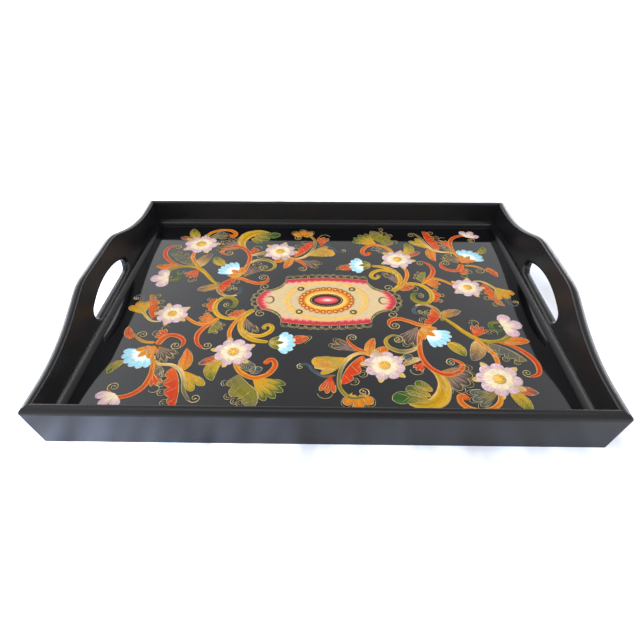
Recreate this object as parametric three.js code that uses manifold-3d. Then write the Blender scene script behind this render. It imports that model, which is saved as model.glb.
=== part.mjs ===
// A rectangular butler's tray in black lacquered wood: a flat base board housed in four walls that
// lean outwards, low rails at the front and back, taller ends that rise to a handle with a hand hole,
// and a cove bead along the foot of every wall. Corners are mitred, splined and pinned.
// Millimetres. X runs from the left end to the right end, Y from the front to the back, Z is up.
// The walls' bottom edges rest on Z = 0, and the origin is the middle of the footprint.

import * as THREE from 'three';
import { mergeVertices } from 'three/addons/utils/BufferGeometryUtils.js';
import Module from 'manifold-3d';

// Overall sizes
const FOOT_LENGTH = 448;            // over the outer faces of the ends, at the bottom
const FOOT_WIDTH = 348;             // over the outer faces of the rails, at the bottom
const RAIL_HEIGHT = 40.5;           // outer top edge of the front and back rails
const HANDLE_HEIGHT = 63.5;         // outer top edge of the handles
const SPLAY = THREE.MathUtils.degToRad(7.5);   // how far every wall leans out
const WALL_THICKNESS = 9;

// Outline of an end's top edge
const HANDLE_FLAT = 86;             // length of the level part, to where the slopes would meet it
const SLOPE_RUN = 68;               // level distance covered by each slope
const SHOULDER_RADIUS = 66;         // rounds the slope into the handle
const HOLLOW_RADIUS = 240;          // rounds the slope into the rail height

// Hand hole
const HOLE_LENGTH = 96;
const HOLE_HEIGHT = 22.5;
const HOLE_END_RADIUS = 7;
const GRIP_DEPTH = 21.5;            // wood above the hole

// Base board and the groove that holds it
const BOARD_THICKNESS = 6;
const BOARD_TOP = 13;               // height of its upper face
const GROOVE_DEPTH = 4;

// Cove bead
const BEAD_WIDTH = 5;
const BEAD_HEIGHT = 6;
const BEAD_LIP = 0.6;               // square edge left at the bead's foot and top
const BEAD_HOLLOW = 1.1;            // how far the hollow dips behind a straight slant

// Corner spline and brads
const KEY_THICKNESS = 2;
const KEY_WIDTH = 6;
const KEY_INSET = 5;                // from each outer face to the spline's middle
const KEY_ABOVE_BOARD = 4.5;
const KEY_BELOW_TOP = 8;
const BRAD_LENGTH = 22;
const BRAD_RADIUS = 0.6;
const BRAD_HEAD_RADIUS = 1;
const BRAD_HEAD_THICKNESS = 0.8;
const BRAD_SINK = 0.5;              // how far a head is punched below the face
const BRAD_ABOVE_BOARD = 2.4;
const BRAD_BELOW_TOP = 4.5;
const BRAD_SIDES = 16;

// Fits and edges
const FIT_GAP = 0.3;                // clearance between pieces that meet
const EDGE_RADIUS = 2.5;            // rounding of top edges and hand holes
const EDGE_STEPS = 4;
const ARC_STEPS = 5;
const TRIM_MARGIN = 12;             // stock beyond the finished size, cut off by the mitres

// Derived sizes
const LEAN = Math.tan(SPLAY);
const HALF_LENGTH = FOOT_LENGTH / 2;
const HALF_WIDTH = FOOT_WIDTH / 2;
const LEVEL_THICKNESS = WALL_THICKNESS / Math.cos(SPLAY);
const UP_SLOPE = 1 / Math.cos(SPLAY);          // length along the wall for each unit of height
const BOARD_BOTTOM = BOARD_TOP - BOARD_THICKNESS;
const QUARTER_TURN = Math.PI / 2;

const lacquer = { color: 0x141317, roughness: 0.28, metalness: 0 };
const gloss = { color: 0x0e0d10, roughness: 0.12, metalness: 0 };
const bareWood = { color: 0xa9825a, roughness: 0.75, metalness: 0 };
const steel = { color: 0x8f8f92, roughness: 0.4, metalness: 1 };

const wasm = await Module();
wasm.setup();

const tray = new THREE.Group();
tray.name = 'tray';

// A closed manifold-3d solid from a three.js geometry.
function solid(geometry) {
  const bare = geometry.clone();
  bare.deleteAttribute('normal');
  bare.deleteAttribute('uv');
  const welded = mergeVertices(bare, 1e-4);
  return new wasm.Manifold(new wasm.Mesh({
    numProp: 3,
    vertProperties: new Float32Array(welded.attributes.position.array),
    triVerts: new Uint32Array(welded.index.array),
  }));
}

// Adds a solid to the tray as a named mesh.
function addPiece(name, body, look) {
  const cut = body.getMesh();
  const geometry = new THREE.BufferGeometry();
  geometry.setAttribute('position', new THREE.BufferAttribute(cut.vertProperties, 3));
  geometry.setIndex(new THREE.BufferAttribute(cut.triVerts, 1));
  geometry.computeVertexNormals();
  const piece = new THREE.Mesh(geometry, new THREE.MeshStandardMaterial(look));
  piece.name = name;
  tray.add(piece);
}

// A chain of corners [x, y, radius] drawn on a shape, each corner rounded by an arc that is
// tangent to both of its edges.
function traceRounded(shape, corners) {
  corners.forEach(([x, y, radius], i) => {
    const here = new THREE.Vector2(x, y);
    if (radius === 0) {
      if (i === 0) shape.moveTo(x, y);
      else shape.lineTo(x, y);
      return;
    }
    const before = new THREE.Vector2(...corners[i - 1]).sub(here).normalize();
    const after = new THREE.Vector2(...corners[i + 1]).sub(here).normalize();
    const halfAngle = Math.acos(before.dot(after)) / 2;
    const middle = before.clone().add(after).normalize();
    const centre = here.clone().addScaledVector(middle, radius / Math.sin(halfAngle));
    const reach = radius / Math.tan(halfAngle);
    const start = here.clone().addScaledVector(before, reach).sub(centre);
    const end = here.clone().addScaledVector(after, reach).sub(centre);
    const clockwise = start.cross(end) < 0;
    shape.absarc(centre.x, centre.y, radius, start.angle(), end.angle(), clockwise);
  });
}

// A rail's outline: level along the top. Lengths run along the wall and up its slope.
function railOutline(halfLength) {
  const reach = halfLength + TRIM_MARGIN;
  const shape = new THREE.Shape();
  traceRounded(shape, [
    [-reach, -TRIM_MARGIN, 0],
    [reach, -TRIM_MARGIN, 0],
    [reach, RAIL_HEIGHT * UP_SLOPE, 0],
    [-reach, RAIL_HEIGHT * UP_SLOPE, 0],
  ]);
  return shape;
}

// An end's outline: rail height at the corners, rising in an S on each side to a level handle.
function endOutline(halfLength) {
  const reach = halfLength + TRIM_MARGIN;
  const low = RAIL_HEIGHT * UP_SLOPE;
  const high = HANDLE_HEIGHT * UP_SLOPE;
  const top = HANDLE_FLAT / 2;
  const foot = top + SLOPE_RUN;
  const shape = new THREE.Shape();
  traceRounded(shape, [
    [-reach, -TRIM_MARGIN, 0],
    [reach, -TRIM_MARGIN, 0],
    [reach, low, 0],
    [foot, low, HOLLOW_RADIUS],
    [top, high, SHOULDER_RADIUS],
    [-top, high, SHOULDER_RADIUS],
    [-foot, low, HOLLOW_RADIUS],
    [-reach, low, 0],
  ]);
  return shape;
}

// The hand hole: a straight bottom, an arched top and two round ends that touch both of them.
// The arch's radius follows from the hole's length, height and end radius.
function handHole() {
  const arch = HANDLE_HEIGHT * UP_SLOPE - GRIP_DEPTH;
  const sill = arch - HOLE_HEIGHT;
  const endX = HOLE_LENGTH / 2 - HOLE_END_RADIUS;
  const endY = sill + HOLE_END_RADIUS;
  const slack = HOLE_HEIGHT - 2 * HOLE_END_RADIUS;
  const archRadius = (endX * endX / slack + HOLE_HEIGHT) / 2;
  const archY = arch - archRadius;
  const touch = Math.atan2(endY - archY, endX);
  const path = new THREE.Path();
  path.moveTo(-endX, sill);
  path.lineTo(endX, sill);
  path.absarc(endX, endY, HOLE_END_RADIUS, -QUARTER_TURN, touch, false);
  path.absarc(0, archY, archRadius, touch, Math.PI - touch, false);
  path.absarc(-endX, endY, HOLE_END_RADIUS, Math.PI - touch, Math.PI + QUARTER_TURN, false);
  return path;
}

// Stock for a wall, made as if at the front: its outline cut from board with rounded edges, stood
// up, leant outwards and moved until its outer bottom edge is `setback` in front of the middle.
function wallStock(shape, setback) {
  const board = new THREE.ExtrudeGeometry(shape, {
    depth: WALL_THICKNESS - 2 * EDGE_RADIUS,
    curveSegments: ARC_STEPS,
    bevelThickness: EDGE_RADIUS,
    bevelSize: EDGE_RADIUS,
    bevelOffset: -EDGE_RADIUS,
    bevelSegments: EDGE_STEPS,
  });
  board.translate(0, 0, EDGE_RADIUS - WALL_THICKNESS);
  board.rotateX(QUARTER_TURN + SPLAY);
  board.translate(0, -setback, 0);
  return solid(board);
}

// What the two mitres and the ground leave of anything that runs along the front wall.
function mitreBlock(halfLength, setback) {
  const half = halfLength - FIT_GAP / Math.SQRT2;
  const reach = 2 * TRIM_MARGIN;
  const plan = new THREE.Shape([
    new THREE.Vector2(-half - reach, -setback - reach),
    new THREE.Vector2(half + reach, -setback - reach),
    new THREE.Vector2(half - reach, -setback + reach),
    new THREE.Vector2(-half + reach, -setback + reach),
  ]);
  const depth = HANDLE_HEIGHT + TRIM_MARGIN;
  return solid(new THREE.ExtrudeGeometry(plan, { depth, bevelEnabled: false }));
}

// A bead along the front wall's foot: square lips at its foot and top with a hollow between them.
// Its section is drawn with x as the distance in front of the tray's middle.
function beadStock(halfLength, setback) {
  const foot = BOARD_TOP + FIT_GAP;
  const top = BOARD_TOP + BEAD_HEIGHT;
  const wallFace = (z) => setback + z * LEAN - LEVEL_THICKNESS;
  const toe = new THREE.Vector2(wallFace(foot) - BEAD_WIDTH, foot + BEAD_LIP);
  const brow = new THREE.Vector2(wallFace(top) - FIT_GAP - BEAD_LIP, top);
  const slant = brow.clone().sub(toe);
  const behind = new THREE.Vector2(slant.y, -slant.x).setLength(2 * BEAD_HOLLOW);
  const bend = toe.clone().addScaledVector(slant, 1 / 2).add(behind);
  const shape = new THREE.Shape();
  shape.moveTo(wallFace(foot) - FIT_GAP, foot);
  shape.lineTo(wallFace(top) - FIT_GAP, top);
  shape.lineTo(brow.x, brow.y);
  shape.quadraticCurveTo(bend.x, bend.y, toe.x, toe.y);
  shape.lineTo(toe.x, foot);
  const length = 2 * halfLength + 2 * TRIM_MARGIN;
  const strip = new THREE.ExtrudeGeometry(shape, {
    depth: length,
    curveSegments: 2 * ARC_STEPS,
    bevelEnabled: false,
  });
  strip.rotateX(QUARTER_TURN);
  strip.rotateZ(-QUARTER_TURN);
  strip.translate(length / 2, 0, 0);
  return solid(strip);
}

// The base board, whose edges sit in a groove in every wall. Grown by a clearance, it is what
// that groove removes.
function boardBlock(clearance) {
  const height = BOARD_THICKNESS + 2 * clearance;
  const middle = BOARD_TOP - BOARD_THICKNESS / 2;
  const reach = middle * LEAN - LEVEL_THICKNESS + GROOVE_DEPTH - FIT_GAP + clearance;
  const block = new THREE.BoxGeometry(2 * (HALF_LENGTH + reach), 2 * (HALF_WIDTH + reach), height);
  block.translate(0, 0, middle);
  return solid(block);
}

// A spline across the mitre of the corner on side (sx, sy), grown by `clearance` all round.
function keyBlock(sx, sy, clearance) {
  const bottom = BOARD_TOP + KEY_ABOVE_BOARD;
  const top = RAIL_HEIGHT - KEY_BELOW_TOP;
  const middle = (bottom + top) / 2;
  const out = middle * LEAN - KEY_INSET;
  const block = new THREE.BoxGeometry(
    KEY_THICKNESS + 2 * clearance,
    KEY_WIDTH + 2 * clearance,
    top - bottom + 2 * clearance,
  );
  block.rotateY(Math.atan(LEAN * Math.SQRT2));
  block.rotateZ(Math.atan2(sy, sx));
  block.translate(sx * (HALF_LENGTH + out), sy * (HALF_WIDTH + out), middle);
  return solid(block);
}

// A round bar along X that starts at `x` and runs `length` towards the middle of the tray.
function bar(radius, length, x, y, z, sx) {
  const rod = new THREE.CylinderGeometry(radius, radius, length, BRAD_SIDES);
  rod.rotateZ(QUARTER_TURN);
  rod.translate(x - sx * length / 2, y, z);
  return solid(rod);
}

// A brad driven through an end into the rail, with its head punched below the face.
// With a clearance it becomes its own hole, open to the end's outer face.
function bradBlock(sx, sy, z, clearance) {
  const face = HALF_LENGTH + z * LEAN;
  const head = sx * (face - BRAD_SINK + clearance);
  const mouth = clearance > 0 ? sx * (face + BRAD_SINK) : head;
  const y = sy * (HALF_WIDTH + z * LEAN - LEVEL_THICKNESS / 2);
  const headEnd = head - sx * (BRAD_HEAD_THICKNESS + 2 * clearance);
  const shank = bar(BRAD_RADIUS + clearance, BRAD_LENGTH + 2 * clearance, head, y, z, sx);
  const headLength = Math.abs(mouth - headEnd);
  return shank.add(bar(BRAD_HEAD_RADIUS + clearance, headLength, mouth, y, z, sx));
}

const brads = [
  { level: 'lower', z: BOARD_TOP + BRAD_ABOVE_BOARD },
  { level: 'upper', z: RAIL_HEIGHT - BRAD_BELOW_TOP },
];
const corners = [
  { name: 'front_left', sx: -1, sy: -1 },
  { name: 'front_right', sx: 1, sy: -1 },
  { name: 'back_right', sx: 1, sy: 1 },
  { name: 'back_left', sx: -1, sy: 1 },
];
const sides = [
  { name: 'front', kind: 'rail', turn: 0, half: HALF_LENGTH, setback: HALF_WIDTH },
  { name: 'right', kind: 'end', turn: 90, half: HALF_WIDTH, setback: HALF_LENGTH },
  { name: 'back', kind: 'rail', turn: 180, half: HALF_LENGTH, setback: HALF_WIDTH },
  { name: 'left', kind: 'end', turn: -90, half: HALF_WIDTH, setback: HALF_LENGTH },
];

addPiece('base_board', boardBlock(0), gloss);

// Everything that is cut out of the walls once they stand in place.
let recesses = boardBlock(FIT_GAP);
for (const { sx, sy } of corners) {
  recesses = recesses.add(keyBlock(sx, sy, FIT_GAP));
  for (const { z } of brads) recesses = recesses.add(bradBlock(sx, sy, z, FIT_GAP));
}

for (const { name, kind, turn, half, setback } of sides) {
  const outline = kind === 'end' ? endOutline(half) : railOutline(half);
  if (kind === 'end') outline.holes.push(handHole());
  const ends = mitreBlock(half, setback);
  const wall = wallStock(outline, setback).intersect(ends).rotate([0, 0, turn]).subtract(recesses);
  const bead = beadStock(half, setback).intersect(ends).rotate([0, 0, turn]);
  addPiece(`${name}_${kind}`, wall, lacquer);
  addPiece(`${name}_bead`, bead, lacquer);
}

for (const { name, sx, sy } of corners) {
  addPiece(`${name}_spline`, keyBlock(sx, sy, 0), bareWood);
  for (const { level, z } of brads) {
    addPiece(`${name}_${level}_brad`, bradBlock(sx, sy, z, 0), steel);
  }
}

export default tray;
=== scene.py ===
import math

import bmesh
import bpy
import numpy as np
from bpy.props import FloatProperty, FloatVectorProperty, PointerProperty
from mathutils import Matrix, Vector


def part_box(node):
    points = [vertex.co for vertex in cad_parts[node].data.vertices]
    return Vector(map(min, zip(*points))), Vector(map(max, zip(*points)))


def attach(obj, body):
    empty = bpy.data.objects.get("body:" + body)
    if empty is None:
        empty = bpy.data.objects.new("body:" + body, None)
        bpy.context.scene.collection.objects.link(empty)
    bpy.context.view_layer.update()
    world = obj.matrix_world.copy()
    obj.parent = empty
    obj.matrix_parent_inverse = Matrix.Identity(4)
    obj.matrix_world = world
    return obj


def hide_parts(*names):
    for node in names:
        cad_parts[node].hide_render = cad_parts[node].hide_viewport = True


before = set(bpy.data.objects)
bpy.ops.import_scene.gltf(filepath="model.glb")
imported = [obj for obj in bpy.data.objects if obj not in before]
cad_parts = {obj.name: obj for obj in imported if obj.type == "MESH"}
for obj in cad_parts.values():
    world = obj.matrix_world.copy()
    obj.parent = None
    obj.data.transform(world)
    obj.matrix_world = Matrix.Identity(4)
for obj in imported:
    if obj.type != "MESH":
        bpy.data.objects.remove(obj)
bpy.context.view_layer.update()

bl_info = {
    "name": "Painted butler's tray",
    "version": (1, 0, 0),
    "blender": (4, 5, 0),
    "location": "3D View > Sidebar > Tray",
    "description": "Builds a black lacquered tray with a painted base",
    "category": "Add Mesh",
}

MM = 0.001
BODY = "root"
BOARD_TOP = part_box("base_board")[1][2]
CORNER_ANGLE = math.radians(35)  # edges sharper than this stay crisp
FULL_TURN = 2 * math.pi
TOUCHING = 0.0001 * MM  # points nearer than this are one point


# Sizes and colours that a user would change


def length_property(name, description, millimetres):
    """A length that a user can change, its default given in millimetres."""
    return FloatProperty(
        name=name, description=description, default=millimetres * MM, unit="LENGTH"
    )


def angle_property(name, description, degrees):
    """An angle that a user can change, its default given in degrees."""
    return FloatProperty(
        name=name, description=description, default=math.radians(degrees), subtype="ANGLE"
    )


def colour_property(name, description, default):
    """A colour that a user can pick, given in linear light."""
    return FloatVectorProperty(
        name=name,
        description=description,
        subtype="COLOR",
        size=3,
        min=0,
        max=1,
        default=default,
    )


class TraySizes(bpy.types.PropertyGroup):
    foot_length: length_property(
        "Foot length", "Over the outer faces of the ends, at the bottom", 448
    )
    foot_width: length_property(
        "Foot width", "Over the outer faces of the rails, at the bottom", 348
    )
    rail_height: length_property("Rail height", "Outer top edge of the rails", 40.5)
    handle_height: length_property("Handle height", "Outer top edge of the handles", 63.5)
    splay: angle_property("Splay", "How far every wall leans out", 7.5)
    thickness: length_property("Wall thickness", "Thickness of a wall", 9)
    handle_flat: length_property(
        "Handle flat", "Level part of a handle, to where the slopes would meet it", 86
    )
    slope_run: length_property("Slope run", "Level distance that each slope covers", 68)
    shoulder_radius: length_property("Shoulder radius", "Rounds the slope into the handle", 66)
    hollow_radius: length_property("Hollow radius", "Rounds the slope into the rail height", 240)
    hole_length: length_property("Hole length", "Length of a hand hole", 96)
    hole_height: length_property("Hole height", "Height of a hand hole", 22.5)
    hole_end_radius: length_property("Hole end radius", "Radius of a hand hole's ends", 7)
    grip_depth: length_property("Grip depth", "Wood above the hand hole", 21.5)
    crown_radius: length_property(
        "Crown radius", "Curve of a wall's top towards its outer face", 8
    )
    arris_radius: length_property(
        "Arris radius", "Rounding of the edge between crown and outer face", 1.6
    )
    arris_angle: angle_property(
        "Arris angle", "Turn of the surface at the edge between crown and outer face", 40
    )
    inner_round: length_property("Inner round", "Rounding of a wall's inner top edge", 2.2)
    hole_round: length_property("Hole round", "Rounding of a hand hole's edges", 3.2)
    corner_round: length_property(
        "Corner round", "Rounding of the tray's upright outer corners", 3
    )
    mitre_gap: length_property("Mitre line", "Width of the line left at each mitre", 0.12)
    bead_width: length_property("Bead width", "Width of a bead's foot", 5)
    bead_height: length_property("Bead height", "Height of a bead", 6)


class TrayColours(bpy.types.PropertyGroup):
    lacquer: colour_property("Lacquer", "Black of the walls", (0.0028, 0.0026, 0.0032))
    ground: colour_property("Ground", "Black of the painted base", (0.0024, 0.0024, 0.003))
    gold: colour_property("Gold", "Fine outlines and veins", (0.52, 0.4, 0.16))
    cream: colour_property("Cream", "Middles of the daisies", (0.74, 0.62, 0.43))
    pink: colour_property("Pink", "Tips of the daisy petals", (0.56, 0.35, 0.42))
    blue: colour_property("Blue", "Tips of the tulip petals", (0.27, 0.62, 0.76))
    red: colour_property("Red", "Red scrolls and leaves", (0.52, 0.042, 0.009))
    orange: colour_property("Orange", "Orange stems and leaves", (0.6, 0.155, 0.01))
    yellow: colour_property("Yellow", "Yellow leaves", (0.54, 0.29, 0.006))
    olive: colour_property("Olive", "Olive stems", (0.36, 0.25, 0.012))
    green: colour_property("Green", "Green leaf tips", (0.035, 0.1, 0.02))


class TrayLooks(bpy.types.PropertyGroup):
    floor_size: FloatProperty(
        name="Floor", description="Width of the pale floor", default=16.0, unit="LENGTH"
    )
    sky: FloatProperty(
        name="Sky", description="Brightness of the light around the tray", default=1.0, min=0.0
    )
    soft_box: FloatProperty(
        name="Soft box", description="Power of the overhead lamp in watts", default=6.0, min=0.0
    )


# Curves and surfaces


def smooth_curve(points, count):
    """A smooth curve through the points. Each stretch between two points is a cubic whose slope
    at a point is half the step between the points on either side of it."""
    p = np.asarray(points, float)
    p = np.vstack([2 * p[0] - p[1], p, 2 * p[-1] - p[-2]])
    t = np.linspace(0, len(p) - 3, count)
    i = np.minimum(t.astype(int), len(p) - 4)
    f = (t - i)[:, None]
    a, b, c, d = p[i], p[i + 1], p[i + 2], p[i + 3]
    bend = (2 * a - 5 * b + 4 * c - d) * f**2 + (3 * b - a - 3 * c + d) * f**3
    return 0.5 * (2 * b + (c - a) * f + bend)


def lengths(path):
    """The length of a path up to each of its points."""
    steps = np.linalg.norm(np.diff(path, axis=0), axis=1)
    return np.concatenate([[0], np.cumsum(steps)])


def resampled(path, count):
    """The same open path with equal steps of length."""
    run = lengths(path)
    wanted = np.linspace(0, run[-1], count)
    return np.stack([np.interp(wanted, run, path[:, k]) for k in range(path.shape[1])], 1)


def even_curve(points, count):
    """A smooth curve through the points, sampled at equal steps of length."""
    return resampled(smooth_curve(points, 24 * len(points)), count)


def left_of(path):
    """The unit vector to the left of a path at each point: its direction turned a quarter."""
    along = np.gradient(path, axis=0)
    along /= np.linalg.norm(along, axis=1)[:, None] + 1e-12
    return np.stack([-along[:, 1], along[:, 0]], 1)


def ways(angles):
    """Unit vectors in the directions of angles in radians."""
    return np.stack([np.cos(angles), np.sin(angles)], -1)


def arc(centre, radius, start, end, count):
    """Points on a circle from one angle to another, both in radians."""
    return np.asarray(centre) + radius * ways(np.linspace(start, end, count))


def rounded_corner(before, corner, after, radius, count):
    """The arc that rounds a corner: its centre lies on the line that halves the corner, at
    radius / sin(half the angle), so that the arc is tangent to both edges."""
    corner = np.asarray(corner, float)
    one = np.asarray(before, float) - corner
    two = np.asarray(after, float) - corner
    one /= np.linalg.norm(one)
    two /= np.linalg.norm(two)
    half = math.acos(float(one @ two)) / 2
    middle = (one + two) / np.linalg.norm(one + two)
    centre = corner + middle * radius / math.sin(half)
    start = corner + one * radius / math.tan(half) - centre
    end = corner + two * radius / math.tan(half) - centre
    first = math.atan2(start[1], start[0])
    turn = math.atan2(start[0] * end[1] - start[1] * end[0], float(start @ end))
    return arc(centre, radius, first, first + turn, count)


def grid_faces(rows, columns, wrap_rows=False, wrap_columns=False):
    """Four-sided faces between neighbouring points of a grid, closed up where it wraps round."""
    r = np.arange(rows if wrap_rows else rows - 1)
    c = np.arange(columns if wrap_columns else columns - 1)
    r, c = np.meshgrid(r, c, indexing="ij")
    r2, c2 = (r + 1) % rows, (c + 1) % columns
    quads = [r * columns + c, r2 * columns + c, r2 * columns + c2, r * columns + c2]
    return np.stack(quads, -1).reshape(-1, 4)


def quad_mesh(name, points, faces):
    """A mesh of four-sided faces from arrays of points, in metres, and corner numbers."""
    mesh = bpy.data.meshes.new(name)
    mesh.vertices.add(len(points))
    mesh.vertices.foreach_set("co", np.asarray(points, np.float32).ravel())
    mesh.loops.add(faces.size)
    mesh.loops.foreach_set("vertex_index", faces.astype(np.int32).ravel())
    mesh.polygons.add(len(faces))
    mesh.polygons.foreach_set("loop_start", np.arange(0, faces.size, 4, dtype=np.int32))
    mesh.update(calc_edges=True)
    mesh.validate()
    return mesh


def mesh_points(mesh):
    """The places of a mesh's points, as an array with one row each."""
    places = np.empty(len(mesh.vertices) * 3, np.float32)
    mesh.vertices.foreach_get("co", places)
    return places.reshape(-1, 3)


def move_points(mesh, places):
    """Puts a mesh's points at new places."""
    mesh.vertices.foreach_set("co", np.asarray(places, np.float32).ravel())


def soften(mesh):
    """Shades a mesh smoothly, and leaves its sharp edges crisp."""
    mesh.shade_smooth()
    mesh.set_sharp_from_angle(angle=CORNER_ANGLE)


def show(name, mesh, material, replaced=()):
    """Puts a finished mesh in the scene as a piece of the tray."""
    mesh.materials.append(material)
    piece = bpy.data.objects.new(name, mesh)
    bpy.context.scene.collection.objects.link(piece)
    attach(piece, BODY)
    if replaced:
        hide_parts(*replaced)
    return piece


def slice_through(body, point, outward, drop=False):
    """Adds the line where a plane meets a bmesh, and drops what lies outward of it if asked."""
    everything = body.verts[:] + body.edges[:] + body.faces[:]
    return bmesh.ops.bisect_plane(
        body, geom=everything, plane_co=point, plane_no=outward, clear_outer=drop, dist=TOUCHING
    )


def cut_flat(body, point, outward):
    """Cuts a closed bmesh along a plane, drops what lies outward of it and closes the cut."""
    cut = slice_through(body, point, outward, drop=True)
    rim = [e for e in cut["geom_cut"] if isinstance(e, bmesh.types.BMEdge)]
    bmesh.ops.contextual_create(body, geom=rim)


# Finishes


def new_material(name):
    """A new material, its shader and its node tree."""
    material = bpy.data.materials.new(name)
    material.use_nodes = True
    nodes = material.node_tree.nodes
    return material, nodes["Principled BSDF"], material.node_tree


def add_node(tree, kind, inputs=(), **settings):
    """Adds a node, sets its properties, and fills its inputs with values or links."""
    node = tree.nodes.new(kind)
    for key, value in settings.items():
        setattr(node, key, value)
    for key, value in dict(inputs).items():
        if isinstance(value, bpy.types.NodeSocket):
            tree.links.new(value, node.inputs[key])
        else:
            node.inputs[key].default_value = value
    return node


def object_noise(tree, scale, detail, stretch=(1, 1, 1), roughness=0.5):
    """Cloudy noise fixed to the piece, its size set by scale in features per metre."""
    place = add_node(tree, "ShaderNodeTexCoord").outputs["Object"]
    turned = add_node(tree, "ShaderNodeMapping", {"Vector": place, "Scale": stretch})
    noise = {"Vector": turned.outputs[0], "Scale": scale, "Detail": detail, "Roughness": roughness}
    return add_node(tree, "ShaderNodeTexNoise", noise).outputs["Fac"]


def remap(tree, value, low, high, to_low, to_high):
    """Carries the range low..high of a value onto to_low..to_high, and stops at its ends."""
    ends = {"Value": value, "From Min": low, "From Max": high, "To Min": to_low, "To Max": to_high}
    return add_node(tree, "ShaderNodeMapRange", ends).outputs["Result"]


def mix_colours(tree, inputs, blend="MIX"):
    """Blends colour B over colour A by Factor."""
    node = tree.nodes.new("ShaderNodeMix")
    node.data_type = "RGBA"
    node.blend_type = blend
    sockets = {"Factor": node.inputs[0], "A": node.inputs[6], "B": node.inputs[7]}
    for key, value in inputs.items():
        if isinstance(value, bpy.types.NodeSocket):
            tree.links.new(value, sockets[key])
        else:
            sockets[key].default_value = value
    return node.outputs[2]


def calculate(tree, operation, *values):
    """The result of a sum on one to three values, each a number or a link."""
    node = add_node(tree, "ShaderNodeMath", dict(enumerate(values)), operation=operation)
    return node.outputs[0]


def give_skin(tree, shader, height, strength, distance):
    """Roughens the look of a surface by a height that varies over it."""
    bump = {"Height": height, "Strength": strength, "Distance": distance}
    tree.links.new(add_node(tree, "ShaderNodeBump", bump).outputs[0], shader.inputs["Normal"])


def lacquer_material(name, colour, low, high, sheen=0.27, grain=0.12, dust=0.0):
    """Black lacquer brushed over wood: uneven gloss, a faint skin like orange peel, the grain of
    the wood just showing through, and specks of dust and rubbed spots."""
    material, shader, tree = new_material(name)
    cloud = object_noise(tree, 26, 6)
    shader.inputs["IOR"].default_value = 1.5
    shader.inputs["Specular IOR Level"].default_value = sheen
    gloss = remap(tree, cloud, 0.3, 0.7, low, high)
    tree.links.new(gloss, shader.inputs["Roughness"])
    specks = remap(tree, object_noise(tree, 900, 2, roughness=0.7), 0.69, 0.74, 0.0, 1.0)
    patches = remap(tree, object_noise(tree, 22, 3), 0.52, 0.62, 0.0, 1.0)
    share = calculate(tree, "MULTIPLY", calculate(tree, "MULTIPLY", specks, patches), dust)
    worn = {"Factor": share, "A": (*colour, 1), "B": (0.3, 0.29, 0.27, 1)}
    tree.links.new(mix_colours(tree, worn), shader.inputs["Base Color"])
    fine = object_noise(tree, 420, 3)
    wood = object_noise(tree, 60, 5, stretch=(1, 1, 14), roughness=0.6)
    height = calculate(tree, "MULTIPLY_ADD", wood, grain, fine)
    give_skin(tree, shader, height, 0.12, 0.4 * MM)
    return material


def ground_material(colour):
    """The polished lacquer under and over the painting: almost a mirror, with faint polishing
    haze, a few hairline scratches and a skin that is not quite flat."""
    material, shader, tree = new_material("polished_ground")
    shader.inputs["IOR"].default_value = 1.5
    haze = object_noise(tree, 14, 5)
    scratches = object_noise(tree, 40, 2, stretch=(1, 16, 1))
    hairlines = remap(tree, scratches, 0.63, 0.66, 0.0, 0.05)
    gloss = remap(tree, haze, 0.35, 0.7, 0.035, 0.075)
    tree.links.new(calculate(tree, "ADD", gloss, hairlines), shader.inputs["Roughness"])
    cloud = remap(tree, object_noise(tree, 30, 4), 0.3, 0.7, 0.0, 1.0)
    shades = {"Factor": cloud, "A": (*colour, 1), "B": (*[1.7 * c for c in colour], 1)}
    tree.links.new(mix_colours(tree, shades), shader.inputs["Base Color"])
    give_skin(tree, shader, object_noise(tree, 9, 2), 0.25, 0.3 * MM)
    return material


def paint_material(name, streak=0.42):
    """Oil paint laid on with a soft brush: the colour of each stroke, with streaks that run
    along it, thin places that let the black through, and a varnish shine."""
    material, shader, tree = new_material(name)
    shader.inputs["Specular IOR Level"].default_value = 0.1
    colour = add_node(tree, "ShaderNodeAttribute", attribute_name="paint").outputs["Color"]
    brush = add_node(tree, "ShaderNodeAttribute", attribute_name="brush").outputs["Vector"]
    stretch = {"Vector": brush, "Scale": (0.16, 2.2, 1.0)}
    place = add_node(tree, "ShaderNodeMapping", stretch).outputs[0]
    hair = {"Vector": place, "Scale": 1.0, "Detail": 3.0, "Roughness": 0.6}
    marks = add_node(tree, "ShaderNodeTexNoise", hair).outputs["Fac"]
    dark = remap(tree, marks, 0.3, 0.7, 1.0 - streak, 1.0 + streak / 2)
    grey = add_node(tree, "ShaderNodeCombineColor", {0: dark, 1: dark, 2: dark}).outputs[0]
    streaked = mix_colours(tree, {"Factor": 1.0, "A": colour, "B": grey}, "MULTIPLY")
    tree.links.new(streaked, shader.inputs["Base Color"])
    gloss = remap(tree, object_noise(tree, 80, 3), 0.3, 0.7, 0.05, 0.13)
    tree.links.new(gloss, shader.inputs["Roughness"])
    give_skin(tree, shader, marks, 0.08, 0.1 * MM)
    return material


def gold_material(colour):
    """Thin ochre-gold lines from a fine brush, a little uneven in strength."""
    material, shader, tree = new_material("gold_lines")
    shader.inputs["Metallic"].default_value = 0.25
    shader.inputs["Roughness"].default_value = 0.3
    fade = remap(tree, object_noise(tree, 220, 3), 0.3, 0.7, 0.45, 1.25)
    grey = add_node(tree, "ShaderNodeCombineColor", {0: fade, 1: fade, 2: fade}).outputs[0]
    parts = {"Factor": 1.0, "A": (*colour, 1), "B": grey}
    tree.links.new(mix_colours(tree, parts, "MULTIPLY"), shader.inputs["Base Color"])
    return material


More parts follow.
